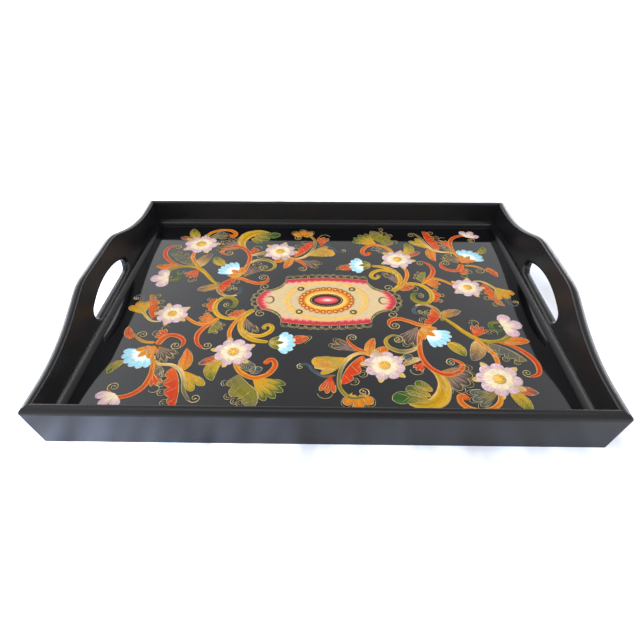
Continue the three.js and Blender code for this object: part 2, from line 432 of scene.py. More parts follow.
def wood_material():
    """Bare softwood with streaks along its length."""
    material, shader, tree = new_material("bare_wood")
    streaks = object_noise(tree, 300, 4, stretch=(1, 1, 0.1))
    tones = {"Factor": streaks, "A": (0.34, 0.2, 0.1, 1), "B": (0.52, 0.36, 0.2, 1)}
    tree.links.new(mix_colours(tree, tones), shader.inputs["Base Color"])
    tree.links.new(remap(tree, streaks, 0.2, 0.8, 0.6, 0.85), shader.inputs["Roughness"])
    return material


def steel_material():
    """Drawn steel wire with a dull, drawn surface."""
    material, shader, tree = new_material("wire_steel")
    shader.inputs["Base Color"].default_value = (0.45, 0.45, 0.46, 1)
    shader.inputs["Metallic"].default_value = 1.0
    drawn = object_noise(tree, 900, 3, stretch=(0.05, 1, 1))
    tree.links.new(remap(tree, drawn, 0.2, 0.8, 0.25, 0.5), shader.inputs["Roughness"])
    return material


# Walls and beads

SIDES = {  # name: (node, turn about the upright axis in quarter turns, is it a long side)
    "front": ("front_rail", 0, True),
    "right": ("right_end", 1, False),
    "back": ("back_rail", 2, True),
    "left": ("left_end", 3, False),
}


def quarter_turned(points, quarters):
    """Points turned about the upright axis by whole quarter turns."""
    c, s = (1, 0, -1, 0)[quarters], (0, 1, 0, -1)[quarters]
    x, y = points[..., 0], points[..., 1]
    return np.stack([c * x - s * y, s * x + c * y, points[..., 2]], -1)


def stood_up(flat, sizes, setback):
    """Carries points of a wall's board into the front wall's place. A point (u, v, w) lies u
    along the wall, v up its outer face and w in from that face. The board is turned up, leant
    out by the splay, and its outer bottom edge is set back from the middle of the tray."""
    u, v, w = flat[..., 0], flat[..., 1], flat[..., 2]
    c, s = math.cos(sizes.splay), math.sin(sizes.splay)
    return np.stack([u, -setback - v * s + w * c, v * c + w * s], -1)


HOLD = 0.5 * MM  # from a rounded edge to the line that keeps the flat beside it flat
SPARE_END = 16 * MM  # how far a wall runs on past its corners before it is cut
SPARE_FOOT = 12 * MM  # how far it runs on below the table before it is cut


def quarter_round(radius, steps):
    """A quarter circle off a face, as (distance in from the edge, depth below the face)."""
    turn = np.linspace(0, math.pi / 2, steps)
    return np.stack([radius * (1 - np.sin(turn)), radius * (1 - np.cos(turn))], 1)


def top_section(sizes):
    """How far below the wall's crown, and how deep from the outer face, the top edge runs. It
    turns off the outer face round a small arris, goes on round the wide crown until it looks
    straight up, and turns onto the inner face by a quarter circle. Where the surface faces phi
    above the outer face, it rises by r cos(phi) and goes in by r sin(phi) for each radian."""
    low = sizes.arris_angle
    first = np.linspace(0, low, 4)
    second = np.linspace(low, math.pi / 2, 9)[1:]
    r, crown = sizes.arris_radius, sizes.crown_radius
    rise = np.r_[r * np.sin(first), r * math.sin(low) + crown * (np.sin(second) - math.sin(low))]
    depth = np.r_[
        r * (1 - np.cos(first)),
        r * (1 - math.cos(low)) + crown * (math.cos(low) - np.cos(second)),
    ]
    outer = np.stack([rise[-1] - rise, depth], 1)
    inner = quarter_round(sizes.inner_round, 7)[::-1] * (1, -1) + (0, sizes.thickness)
    return np.vstack([outer, inner])


def rail_surface(sizes, half):
    """A rail before its mitres are cut: the section of a board, its top edges rounded, carried
    level along the wall. Returns a grid of points that closes round the section."""
    low, high = -SPARE_FOOT, sizes.rail_height / math.cos(sizes.splay)
    edge = top_section(sizes)
    top = np.stack([high - edge[:, 0], edge[:, 1]], 1)
    held = [[top[0, 0] - HOLD, 0]], [[top[-1, 0] - HOLD, sizes.thickness]]
    section = np.vstack([[[low, 0]], held[0], top, held[1], [[low, sizes.thickness]]])
    along = np.linspace(-half - SPARE_END, half + SPARE_END, 9)
    u, k = np.meshgrid(along, np.arange(len(section)), indexing="ij")
    return np.stack([u, section[k, 0], section[k, 1]], -1)


def end_outline(sizes, half):
    """An end's top edge from right to left, then its side and bottom: rail height at the
    corners and a level handle, joined by slopes whose ends are rounded by tangent arcs."""
    up = 1 / math.cos(sizes.splay)
    reach = half + SPARE_END
    low, high = sizes.rail_height * up, sizes.handle_height * up
    top, foot = sizes.handle_flat / 2, sizes.handle_flat / 2 + sizes.slope_run
    hollow = rounded_corner((reach, low), (foot, low), (top, high), sizes.hollow_radius, 24)
    shoulder = rounded_corner((foot, low), (top, high), (-top, high), sizes.shoulder_radius, 24)
    right = np.vstack([[[reach, low]], hollow, shoulder])
    left = right[::-1] * (-1, 1)
    return resampled(np.vstack([right, left]), 220), reach


def hole_outline(sizes):
    """The hand hole as (arch and upper ends from right to left, sill from left to right). The
    round ends touch the sill and the arch, whose radius follows from the hole's length l, its
    height h and the end radius r: ((l/2 - r)^2 / (h - 2r) + h) / 2."""
    arch = sizes.handle_height / math.cos(sizes.splay) - sizes.grip_depth
    sill = arch - sizes.hole_height
    r = sizes.hole_end_radius
    end_x, end_y = sizes.hole_length / 2 - r, sill + r
    radius = (end_x**2 / (sizes.hole_height - 2 * r) + sizes.hole_height) / 2
    touch = math.atan2(end_y - arch + radius, end_x)
    right = arc((end_x, end_y), r, -math.pi / 2, touch, 30)
    crown = arc((0, arch - radius), radius, touch, math.pi - touch, 90)[1:-1]
    upper = np.vstack([right, crown, right[::-1] * (-1, 1)])
    return upper, sill, end_x


def end_surface(sizes, half):
    """An end before its mitres are cut. Its outline and the hand hole's run round the board as
    two loops with as many points each. Across, the surface goes from the middle of the hole's
    edge round onto the outer face, over it to the outline, round the top edge, and back over the
    inner face: a grid that closes up both ways."""
    outline_top, reach = end_outline(sizes, half)
    hole_top, sill, end_x = hole_outline(sizes)
    count, side, base = len(outline_top), 12, 80
    low = -SPARE_FOOT
    # the sides are cut off later, so they need few points, the first well below the corner
    drop = np.linspace(outline_top[0, 1] - 8 * MM, low, side + 1)[:-1]
    run = np.linspace(-reach, reach, base)
    outer = np.vstack([
        outline_top,
        np.stack([np.full(side, -reach), drop], 1),
        np.stack([run, np.full(base, low)], 1),
        np.stack([np.full(side, reach), drop[::-1]], 1),
    ])
    inner_top = resampled(hole_top, count)
    inner_run = np.linspace(-end_x, end_x, base + 2 * side + 2)[1:-1]
    inner = np.vstack([inner_top, np.stack([inner_run, np.full(len(inner_run), sill)], 1)])
    closed = [np.vstack([loop[-1:], loop, loop[:1]]) for loop in (outer, inner)]
    out_in = left_of(closed[0])[1:-1]
    # only the top edge is rounded: the sides and the bottom are cut off later
    out_in[count:] = 0
    out_in[[0, count - 1]] = (0, -1)
    hole_in = -left_of(closed[1])[1:-1]
    edge = top_section(sizes)
    lip = quarter_round(sizes.hole_round, 9)
    back_lip = lip[::-1] * (1, -1) + (0, sizes.thickness)
    # each ring: its points on the board, and its depth from the outer face
    by_hole = inner + (lip[0, 0] + HOLD) * hole_in
    by_top = [outer + (e + HOLD) * out_in for e in edge[[0, -1], 0]]
    share = np.linspace(0, 1, 7)
    rings = [(inner + out * hole_in, deep) for out, deep in lip[::-1]]
    rings += [(by_hole * (1 - f) + by_top[0] * f, 0.0) for f in share]
    rings += [(outer + out * out_in, deep) for out, deep in edge]
    rings += [(by_top[1] * (1 - f) + by_hole * f, sizes.thickness) for f in share]
    rings += [(inner + out * hole_in, deep) for out, deep in back_lip[::-1]]
    return np.stack([np.insert(ring, 2, depth, axis=1) for ring, depth in rings], 1)


def close_ends(mesh, around):
    """Closes both ends of a mesh that was carried along a path, with so many points around, and
    turns its faces outwards."""
    body = bmesh.new()
    body.from_mesh(mesh)
    body.verts.ensure_lookup_table()
    body.faces.new(body.verts[:around])
    body.faces.new(body.verts[-around:])
    bmesh.ops.recalc_face_normals(body, faces=body.faces[:])
    body.to_mesh(mesh)
    body.free()


def wall_place(name, sizes):
    """Half a wall's length at its foot, and how far its face stands from the tray's middle."""
    spans = (sizes.foot_length / 2, sizes.foot_width / 2)
    return spans if SIDES[name][2] else spans[::-1]


def round_corners(mesh, sizes, half, setback):
    """Rounds a wall's upright outer corners before the mitres are cut. At a distance d from the
    corner, the outer face moves in by r - sqrt(r^2 - (r - d)^2), and what lies deeper in the
    wood moves less in proportion, down to nothing at the inner face."""
    r, lean = sizes.corner_round, math.tan(sizes.splay)
    insets = [r * (1 - math.sin(turn)) for turn in np.linspace(0, math.pi / 4, 6)]
    body = bmesh.new()
    body.from_mesh(mesh)
    for sign in (-1, 1):
        for inset in (r + HOLD, *insets):
            slice_through(body, (sign * (half - inset), 0, 0), (sign, 0, -lean))
    body.to_mesh(mesh)
    body.free()
    x, y, z = mesh_points(mesh).astype(float).T
    away = np.clip(half + z * lean - np.abs(x), r * (1 - math.sqrt(0.5)), r)
    moved = r - np.sqrt(r * r - (r - away) ** 2)
    depth = (y + setback + z * lean) / (sizes.thickness / math.cos(sizes.splay))
    move_points(mesh, np.stack([x, y + moved * np.maximum(0, 1 - depth), z], 1))


def build_wall(name, sizes, material):
    """One wall with its mitres cut by upright planes at 45 degrees, and its bottom level."""
    node, quarters, is_long = SIDES[name]
    half, setback = wall_place(name, sizes)
    grid = rail_surface(sizes, half) if is_long else end_surface(sizes, half)
    points = stood_up(grid, sizes, setback)
    faces = grid_faces(*grid.shape[:2], wrap_rows=not is_long, wrap_columns=True)
    mesh = quad_mesh(name + "_wall", points.reshape(-1, 3), faces)
    if is_long:
        close_ends(mesh, grid.shape[1])
    round_corners(mesh, sizes, half, setback)
    body = bmesh.new()
    body.from_mesh(mesh)
    for sign in (-1, 1):
        edge_point = (sign * (half - sizes.mitre_gap / math.sqrt(2)), -setback, 0)
        cut_flat(body, edge_point, (sign, 1, 0))
    cut_flat(body, (0, 0, 0), (0, 0, -1))
    bmesh.ops.recalc_face_normals(body, faces=body.faces[:])
    body.to_mesh(mesh)
    body.free()
    move_points(mesh, quarter_turned(mesh_points(mesh), quarters))
    soften(mesh)
    show(name + "_wall", mesh, material, (node,))


def bead_section(sizes):
    """The bead's section as (distance in from the wall's inner face at its own height, height):
    up the wall, a soft brow, a hollow that dips behind the straight slant, and a square toe."""
    w, h = sizes.bead_width, sizes.bead_height
    brow, toe, dip, sunk = 0.3 * MM, 0.6 * MM, 1.1 * MM, 0.2 * MM
    t = np.linspace(0, 1, 14)
    slant = np.stack([brow + (w - brow) * t, h + (toe - h) * t], 1)
    behind = np.array([-(h - toe), -(w - brow)]) / math.hypot(w - brow, h - toe)
    hollow = slant + behind * dip * np.sin(math.pi * t)[:, None]
    return np.vstack([[[-sunk, -sunk]], [[-sunk, h]], hollow, [[w, -sunk]]])


def build_bead(name, sizes, material):
    """The bead at a wall's foot: its section carried along the wall, each point as far as the
    upright plane of the mitre, so that both ends are cut at 45 degrees."""
    half, setback = wall_place(name, sizes)
    section = bead_section(sizes)
    z = BOARD_TOP + section[:, 1]
    wall_at = sizes.thickness / math.cos(sizes.splay) - z * math.tan(sizes.splay)
    inward = wall_at + section[:, 0]
    share = np.linspace(-1, 1, 33)
    x = share[:, None] * (half - inward)[None, :]
    y = np.broadcast_to(inward - setback, x.shape)
    grid = np.stack([x, y, np.broadcast_to(z, x.shape)], -1)
    points = quarter_turned(grid, SIDES[name][1]).reshape(-1, 3)
    mesh = quad_mesh(name + "_cove", points, grid_faces(*x.shape, wrap_columns=True))
    close_ends(mesh, x.shape[1])
    soften(mesh)
    show(name + "_cove", mesh, material, (name + "_bead",))


# Paint

FILM = 0.14 * MM  # thickness of the paint, most of it sunk in the lacquer
LIFT_STEP, LIFT_STEPS = 0.002, 24  # each stroke lies this many mm above the last, then starts again
STROKE_SHIFT, PAIR_SHIFT = 3.7, 31.0  # move the brush marks, so that no two strokes look alike


class Paint:
    """Strokes of one kind, gathered into one piece. A stroke is a grid of points in millimetres
    on the board, with a colour and a brush place at each. Every stroke is also laid down a
    second time, turned by half a turn about the middle of the board, if the kind is paired."""

    def __init__(self, name, lift, paired=True):
        self.name, self.lift, self.paired = name, lift, paired
        self.points, self.colours, self.brush, self.faces = [], [], [], []
        self.size = 0

    def add(self, grid, colours, brush=None):
        """Adds a grid of points (rows, columns, 2). Its faces are turned to look up."""
        rows, columns = grid.shape[:2]
        faces = grid_faces(rows, columns)
        a, b, c = (grid.reshape(-1, 2)[faces[:, k]] for k in (0, 1, 2))
        one, two = b - a, c - b
        if (one[:, 0] * two[:, 1] - one[:, 1] * two[:, 0]).sum() < 0:
            faces = faces[:, ::-1]
        step = LIFT_STEP * (len(self.points) % LIFT_STEPS)
        height = np.full((rows, columns, 1), self.lift + step)
        brush = grid if brush is None else brush
        number = np.full((rows, columns, 1), STROKE_SHIFT * len(self.points))
        self.points.append(np.concatenate([grid, height], -1).reshape(-1, 3))
        self.colours.append(np.broadcast_to(colours, (rows, columns, 3)).reshape(-1, 3))
        self.brush.append(np.concatenate([brush, number], -1).reshape(-1, 3))
        self.faces.append(faces + self.size)
        self.size += rows * columns

    def build(self, material):
        """Makes the piece: a sheet with the thickness of the paint."""
        points = np.vstack(self.points)
        colours, brush, faces = (np.vstack(x) for x in (self.colours, self.brush, self.faces))
        if self.paired:
            points = np.vstack([points, points * (-1, -1, 1)])
            colours, brush = np.vstack([colours, colours]), np.vstack([brush, brush + PAIR_SHIFT])
            faces = np.vstack([faces, faces + self.size])
        mesh = quad_mesh(self.name, points * MM + (0, 0, BOARD_TOP), faces)
        rgba = np.ones((len(points), 4), np.float32)
        rgba[:, :3] = np.clip(colours, 0, 1)
        mesh.attributes.new("paint", "FLOAT_COLOR", "POINT").data.foreach_set("color", rgba.ravel())
        marks = mesh.attributes.new("brush", "FLOAT_VECTOR", "POINT")
        marks.data.foreach_set("vector", brush.astype(np.float32).ravel())
        # the seam of a shape that closes on itself, and its middle, are joined up
        body = bmesh.new()
        body.from_mesh(mesh)
        bmesh.ops.remove_doubles(body, verts=body.verts[:], dist=TOUCHING)
        body.to_mesh(mesh)
        body.free()
        soften(mesh)
        piece = show(self.name, mesh, material)
        film = piece.modifiers.new("film", "SOLIDIFY")
        film.thickness = FILM
        film.offset = -1


def ribbon(path, half):
    """A band along a path, half as wide to each side, as a grid."""
    side = left_of(path) * np.broadcast_to(half, len(path))[:, None]
    return np.stack([path - side, path + side], 1)


def stroke(path, side, offset, span):
    """A grid of points set off sideways from a path, and each one's place along and across the
    stroke, which the marks of the brush follow."""
    grid = path[:, None] + offset[..., None] * side[:, None]
    along = np.linspace(0, span, len(path))[:, None]
    return grid, np.stack([np.broadcast_to(along, offset.shape), offset], -1)


def blend_stops(share, colours, stops=None):
    """Colours along a share from 0 to 1, blended between the given stops."""
    colours = np.asarray(colours, float)
    stops = np.linspace(0, 1, len(colours)) if stops is None else stops
    return np.stack([np.interp(share, stops, colours[:, k]) for k in range(3)], -1)


def bell(share, front=0.7, back=0.8):
    """A leaf's half-width, from 0 at its base to 1 at its widest to 0 at its tip."""
    shape = share**front * (1 - share) ** back
    peak = front / (front + back)
    return shape / (peak**front * (1 - peak) ** back)


class Painter:
    """Holds the pots of paint and draws the motifs. Lengths are millimetres, angles degrees.
    Colours are names from the palette in one string, such as "red rust", or given as they are."""

    def __init__(self, palette):
        self.c = palette
        self.ghosts = Paint("painted_shadows", 0.02)
        self.leaves = Paint("painted_leaves", 0.06)
        self.scrolls = Paint("painted_scrolls", 0.11)
        self.petals = Paint("painted_petals", 0.16)
        self.middles = Paint("painted_flower_middles", 0.22)
        self.gold = Paint("gold_outlines", 0.25)

    def oil_pots(self):
        """Everything but the gold, from the bottom layer up."""
        return self.ghosts, self.leaves, self.scrolls, self.petals, self.middles

    def tones(self, colours):
        """The colours that a string of names stands for, or the given ones."""
        return [self.c[k] for k in colours.split()] if isinstance(colours, str) else colours

    def line(self, path, width=0.55, taper=True, pot=None):
        """A fine gold line along a path, thinner at both ends."""
        path = np.asarray(path, float)
        share = np.linspace(0, 1, len(path))
        half = width / 2 * (0.45 + 0.55 * np.sin(math.pi * share) ** 0.5 if taper else 1.0)
        (pot or self.gold).add(ribbon(path, half), self.c["gold"])

    def curl(self, start, heading, radius, turns=1.4, hand=1, width=0.9):
        """A gold spiral that leaves start in the given direction and winds to the left
        (hand 1) or right (-1): its radius falls steadily to a fifth."""
        t = np.linspace(0, 1, int(34 * turns) + 6)
        r = radius * (1 - 0.8 * t**0.85)
        first = math.radians(heading) - hand * math.pi / 2
        centre = np.asarray(start, float) - radius * ways(first)
        path = centre + r[:, None] * ways(first + hand * FULL_TURN * turns * t)
        self.gold.add(ribbon(path, width / 2 * (1 - 0.6 * t)), self.c["gold"])
        self.spot(path[-1], 0.75, "gold", self.gold)

    def spot(self, centre, radius, colour, pot, count=14):
        """A round dab of paint."""
        rim = ways(np.linspace(0, FULL_TURN, count))
        spokes = rim[:, None] * np.array([0.0, 1.0])[None, :, None]
        pot.add(np.asarray(centre) + radius * spokes, self.tones(colour))

    def scroll(self, points, widths, colours, edge="rim", curl=None, veins=0, pot=None):
        """A tapering stroke along a smooth curve. Its width runs through the given widths at
        equal steps, its colour through the given colours, and both of its rims are paler.
        curl = (radius, turns, hand) winds a gold spiral on from its end."""
        pot = pot or self.scrolls
        span = lengths(smooth_curve(points, 60))[-1]
        path = even_curve(points, max(12, int(span / 1.3)))
        share = np.linspace(0, 1, len(path))
        smooth = np.interp(share, np.linspace(0, 1, len(widths)), widths)
        kernel = np.hanning(9) / np.hanning(9).sum()
        padded = np.pad(smooth, 4, mode="edge")
        half = np.convolve(padded, kernel, "valid") / 2
        cap = np.minimum(share, 1 - share) * span
        half = half * np.clip(np.sqrt(np.maximum(cap, 0.02) / 1.4), 0.25, 1)
        # across the stroke: places, how much of the rim's colour each has, and its shade
        across = np.array([-1, -0.8, -0.62, -0.15, 0.35, 0.62, 0.8, 1])
        side = left_of(path)
        grid, brush = stroke(path, side, across * half[:, None], span)
        main = blend_stops(share, self.tones(colours))[:, None, :]
        weight = np.array([1, 0.9, 0.12, 0, 0, 0.12, 0.75, 1])[None, :, None]
        weight = weight * np.clip(half / 1.6, 0.25, 1)[:, None, None]
        shade = np.array([1, 1, 0.9, 0.74, 1.12, 1.06, 1, 1])[None, :, None]
        colour = main * shade * (1 - weight) + (0.55 * self.c[edge] + 0.45 * main) * weight
        pot.add(grid, colour, brush)
        if curl:
            last = path[-1] - path[-3]
            heading = math.degrees(math.atan2(last[1], last[0]))
            self.curl(path[-1] - last * 0.3, heading, *curl)
        for k in range(veins):
            s = 0.15 + 0.7 * (k + 0.5) / veins
            i = int(s * (len(path) - 6))
            self.line(path[i : i + 6] + side[i : i + 6] * half[i : i + 6, None] * 0.3, 0.3)

    def leaf(self, base, tip, width, colours, bend=0.0, lobes=0, depth=0.28, front=0.6, back=0.75,
             veins=4, pot=None):
        """A leaf on a spine from base to tip that bows sideways by bend. Its half-width is a
        bell, cut into rounded lobes if asked, and gold veins run out from the spine."""
        pot = pot or self.leaves
        base, tip = np.asarray(base, float), np.asarray(tip, float)
        chord = tip - base
        normal = np.array([-chord[1], chord[0]]) / np.linalg.norm(chord)
        share = np.linspace(0, 1, 34)
        spine = base + chord * share[:, None] + normal * (bend * np.sin(math.pi * share))[:, None]
        half = width / 2 * bell(share, front, back)
        if lobes:
            half = half * (1 - depth * (1 - np.abs(np.sin(math.pi * lobes * share**0.9)) ** 0.7))
        across = np.array([-1, -0.86, -0.5, -0.04, 0.04, 0.5, 0.86, 1])
        side = left_of(spine)
        grid, brush = stroke(spine, side, across * half[:, None], np.linalg.norm(chord))
        colour = blend_stops(share, self.tones(colours))[:, None, :]
        shade = np.array([0.9, 0.95, 1.0, 0.82, 0.9, 1.15, 1.1, 1])[None, :, None]
        pot.add(grid, colour * shade, brush)
        rim = np.vstack([grid[:, 0], grid[::-1, -1]])
        self.line(rim[1:-1], 0.42, taper=False)
        for k in range(veins):
            start = 0.12 + 0.6 * k / max(veins, 1)
            s = np.linspace(start, min(start + 0.24, 0.97), 6)
            i = np.minimum((s * 33).astype(int), 33)
            reach = np.linspace(0.05, 0.82, 6)[:, None]
            for hand in (-1, 1):
                self.line(spine[i] + hand * reach * half[i, None] * side[i], 0.28)

    def feather(self, points, width, colours, lobes, hand, plain=0.28):
        """A leaf on a curved spine, almost straight on one side and cut into round lobes on the
        other, each lobe echoed by a gold loop beyond it."""
        path = even_curve(points, 12 * lobes + 7)
        span = lengths(path)[-1]
        share = np.linspace(0, 1, len(path))
        body = bell(share, 0.45, 0.55)
        cut = 0.5 + 0.5 * np.abs(np.sin(math.pi * lobes * share)) ** 0.6
        full, slim = width * body * cut, width * plain * body
        across = np.array([0, 0.07, 0.3, 0.55, 0.8, 1])
        side = hand * left_of(path)
        offset = -slim[:, None] + across * (full + slim)[:, None]
        grid, brush = stroke(path, side, offset, span)
        shade = np.array([1.25, 1.05, 1.0, 0.9, 1.05, 1.15])[None, :, None]
        tone = blend_stops(share, self.tones(colours))[:, None, :]
        self.leaves.add(grid, tone * shade, brush * (0.4, 1.2))
        self.line(grid[:, 0], 0.5)
        self.line(grid[2:-1, -1], 0.4)
        for k in range(lobes):
            i = int((k + 0.5) / lobes * (len(path) - 1))
            reach = np.linspace(-0.1, 0.9, 6)[:, None]
            rows = np.clip(i - 4 + np.arange(6), 0, len(path) - 1)
            self.line(path[rows] + side[rows] * full[rows, None] * reach, 0.3)
            radius = 0.3 * span / lobes
            out = path[i] + side[i] * (full[i] + radius * 0.55)
            facing = math.atan2(side[i][1], side[i][0])
            self.line(arc(out, radius, facing - 2.2, facing + 2.2, 18), 0.5)
            self.line(arc(out, radius * 0.45, facing + 2.4, facing - 1.6, 10), 0.32)

    def fan(self, base, aim, spread, reach, lobes, colours, stops=None, depth=0.22, veins=1,
            pot=None, crease=0.16, rim=True, start=0.0):
        """A fan of rounded lobes. On the line at share t of the spread, the edge lies at
        reach * (1 - depth * (1 - |sin(lobes * pi * t)|)), and colours run out from the base."""
        pot = pot or self.petals
        t = np.linspace(0, 1, 11 * lobes + 1)
        wave = np.abs(np.sin(math.pi * lobes * t)) ** 0.62
        edge = reach * (1 - depth * (1 - wave))
        if spread < 360:
            edge = edge * (1 - 0.16 * np.abs(2 * t - 1) ** 3)
        angle = math.radians(spread) * (t - 0.5)
        r = start + (1 - start) * np.linspace(0, 1, 9)
        ahead = r[None, :] * (edge * np.cos(angle))[:, None]
        beside = r[None, :] * (edge * np.sin(angle))[:, None]
        a = math.radians(aim)
        x = base[0] + ahead * math.cos(a) - beside * math.sin(a)
        y = base[1] + ahead * math.sin(a) + beside * math.cos(a)
        grid = np.stack([x, y], -1)
        tone = blend_stops(np.broadcast_to(r[None, :], x.shape), self.tones(colours), stops)
        groove = crease * ((1 - wave) ** 1.5)[:, None, None] * (r**2)[None, :, None]
        round_way = (1 - np.abs(2 * t - 1) if spread == 360 else t) * 2 * reach
        around = np.broadcast_to(round_way[:, None], x.shape)
        brush = np.stack([r[None, :] * edge[:, None], around], -1)
        pot.add(grid, tone * (1 - groove), brush)
        if rim:
            self.line(grid[:, -1], 0.45, taper=False)
        if pot is self.ghosts:
            self.line(np.asarray(base) + 1.12 * (grid[:, -1] - base), 0.35)
        for k in range(lobes * veins):
            i = int((k + 0.5 / veins if veins > 1 else k) * 11 / veins)
            if 0 < i < len(t) - 1:
                self.line(grid[i, 3:-1], 0.3)

    def daisy(self, centre, radius, turn):
        """A daisy of eight round petals: cream in the middle, pink at the tips, a ring of small
        gold leaves behind, and a domed golden middle covered in dabs."""
        centre = np.asarray(centre)
        for k in range(5):
            way = ways(math.radians(turn + 22.5 + 72 * k + 9 * (k % 2)))
            base, tip = centre + 0.75 * radius * way, centre + 1.2 * radius * way
            self.leaf(base, tip, 0.3 * radius, "yellow sand", veins=0, pot=self.scrolls)
        self.fan(centre, turn, 360, radius, 8, "white cream cream blush pink pink_rim",
                 [0.0, 0.3, 0.56, 0.68, 0.82, 1.0], depth=0.2, veins=0, crease=0.3, rim=False)
        self.fan(centre, turn + 22.5, 360, 0.66 * radius, 8, "white cream cream", depth=0.16,
                 veins=0, pot=self.middles, crease=0.1, rim=False)
        self.spot(centre, 0.3 * radius, "sand", self.middles, 24)
        self.spot(centre, 0.24 * radius, "middle", self.middles, 24)
        for k in range(7):  # six dabs in a ring, and one in the middle
            out = 0.15 * radius if k < 6 else 0.0
            place = centre + out * ways(FULL_TURN * k / 6)
            self.spot(place, 0.035 * radius + 0.2, "ember", self.middles, 9)

    def half_daisy(self, centre, aim, radius, spread):
        """A daisy seen from the side: three broad petals that open one way."""
        self.fan(centre, aim, spread, radius, 3, "cream cream blush pink pink_rim",
                 [0, 0.4, 0.62, 0.82, 1], depth=0.36, veins=0, crease=0.3, rim=False)

    def tulip(self, base, aim, reach, calyx, spread=112):
        """A tulip of scalloped petals, white at the base and sky blue at the tips, in a calyx of
        small leaves."""
        self.fan(base, aim, spread, reach, 6, "white white frost blue blue frost",
                 [0, 0.42, 0.62, 0.8, 0.95, 1], depth=0.13, veins=0, crease=0.2, rim=False)
        self.fan(base, aim, 0.62 * spread, 0.74 * reach, 4, "white white frost", depth=0.1,
                 veins=0, pot=self.middles, crease=0.14, rim=False)
        behind = np.asarray(base) - 2.0 * ways(math.radians(aim))
        for offset in (-50, 0, 50):
            tip = np.asarray(base) + 0.5 * reach * ways(math.radians(aim + offset))
            self.leaf(behind, tip, 0.26 * reach, calyx, bend=-0.004 * offset, veins=1,
                      pot=self.middles)


PICKED = ("gold", "cream", "pink", "blue", "red", "orange", "yellow", "olive", "green")
READY = {  # paints that are used as they are, in linear light
    "white": (0.9, 0.88, 0.8),
    "middle": (0.8, 0.45, 0.075),
    "ember": (0.6, 0.25, 0.03),
    "rim": (0.66, 0.42, 0.11),
    "mist": (0.075, 0.085, 0.085),
    "slate": (0.05, 0.075, 0.1),
    "smoke": (0.04, 0.03, 0.028),
    "lilac": (0.15, 0.1, 0.1),
    "tan": (0.3, 0.15, 0.045),
    "reed": (0.16, 0.14, 0.05),
    "dark": (0.035, 0.02, 0.02),
    "crimson": (0.44, 0.035, 0.045),
    "rose": (0.8, 0.2, 0.21),
    "parchment": (0.56, 0.42, 0.23),
    "ochre": (0.66, 0.4, 0.09),
}
MIXED = {  # name: (one paint, another, share of the other)
    "frost": ("white", "blue", 0.5),
    "blush": ("cream", "pink", 0.55),
    "pink_rim": ("pink", "white", 0.28),
    "sand": ("yellow", "cream", 0.4),
    "amber": ("orange", "yellow", 0.5),
    "rust": ("red", "orange", 0.45),
    "moss": ("olive", "green", 0.5),
}


def palette(colours):
    """Every colour that the painter uses: the user's own, ready ones, and mixtures of them."""
    c = {name: np.array(getattr(colours, name)) for name in PICKED}
    c |= {name: np.array(paint) for name, paint in READY.items()}
    return c | {name: c[a] * (1 - f) + c[b] * f for name, (a, b, f) in MIXED.items()}


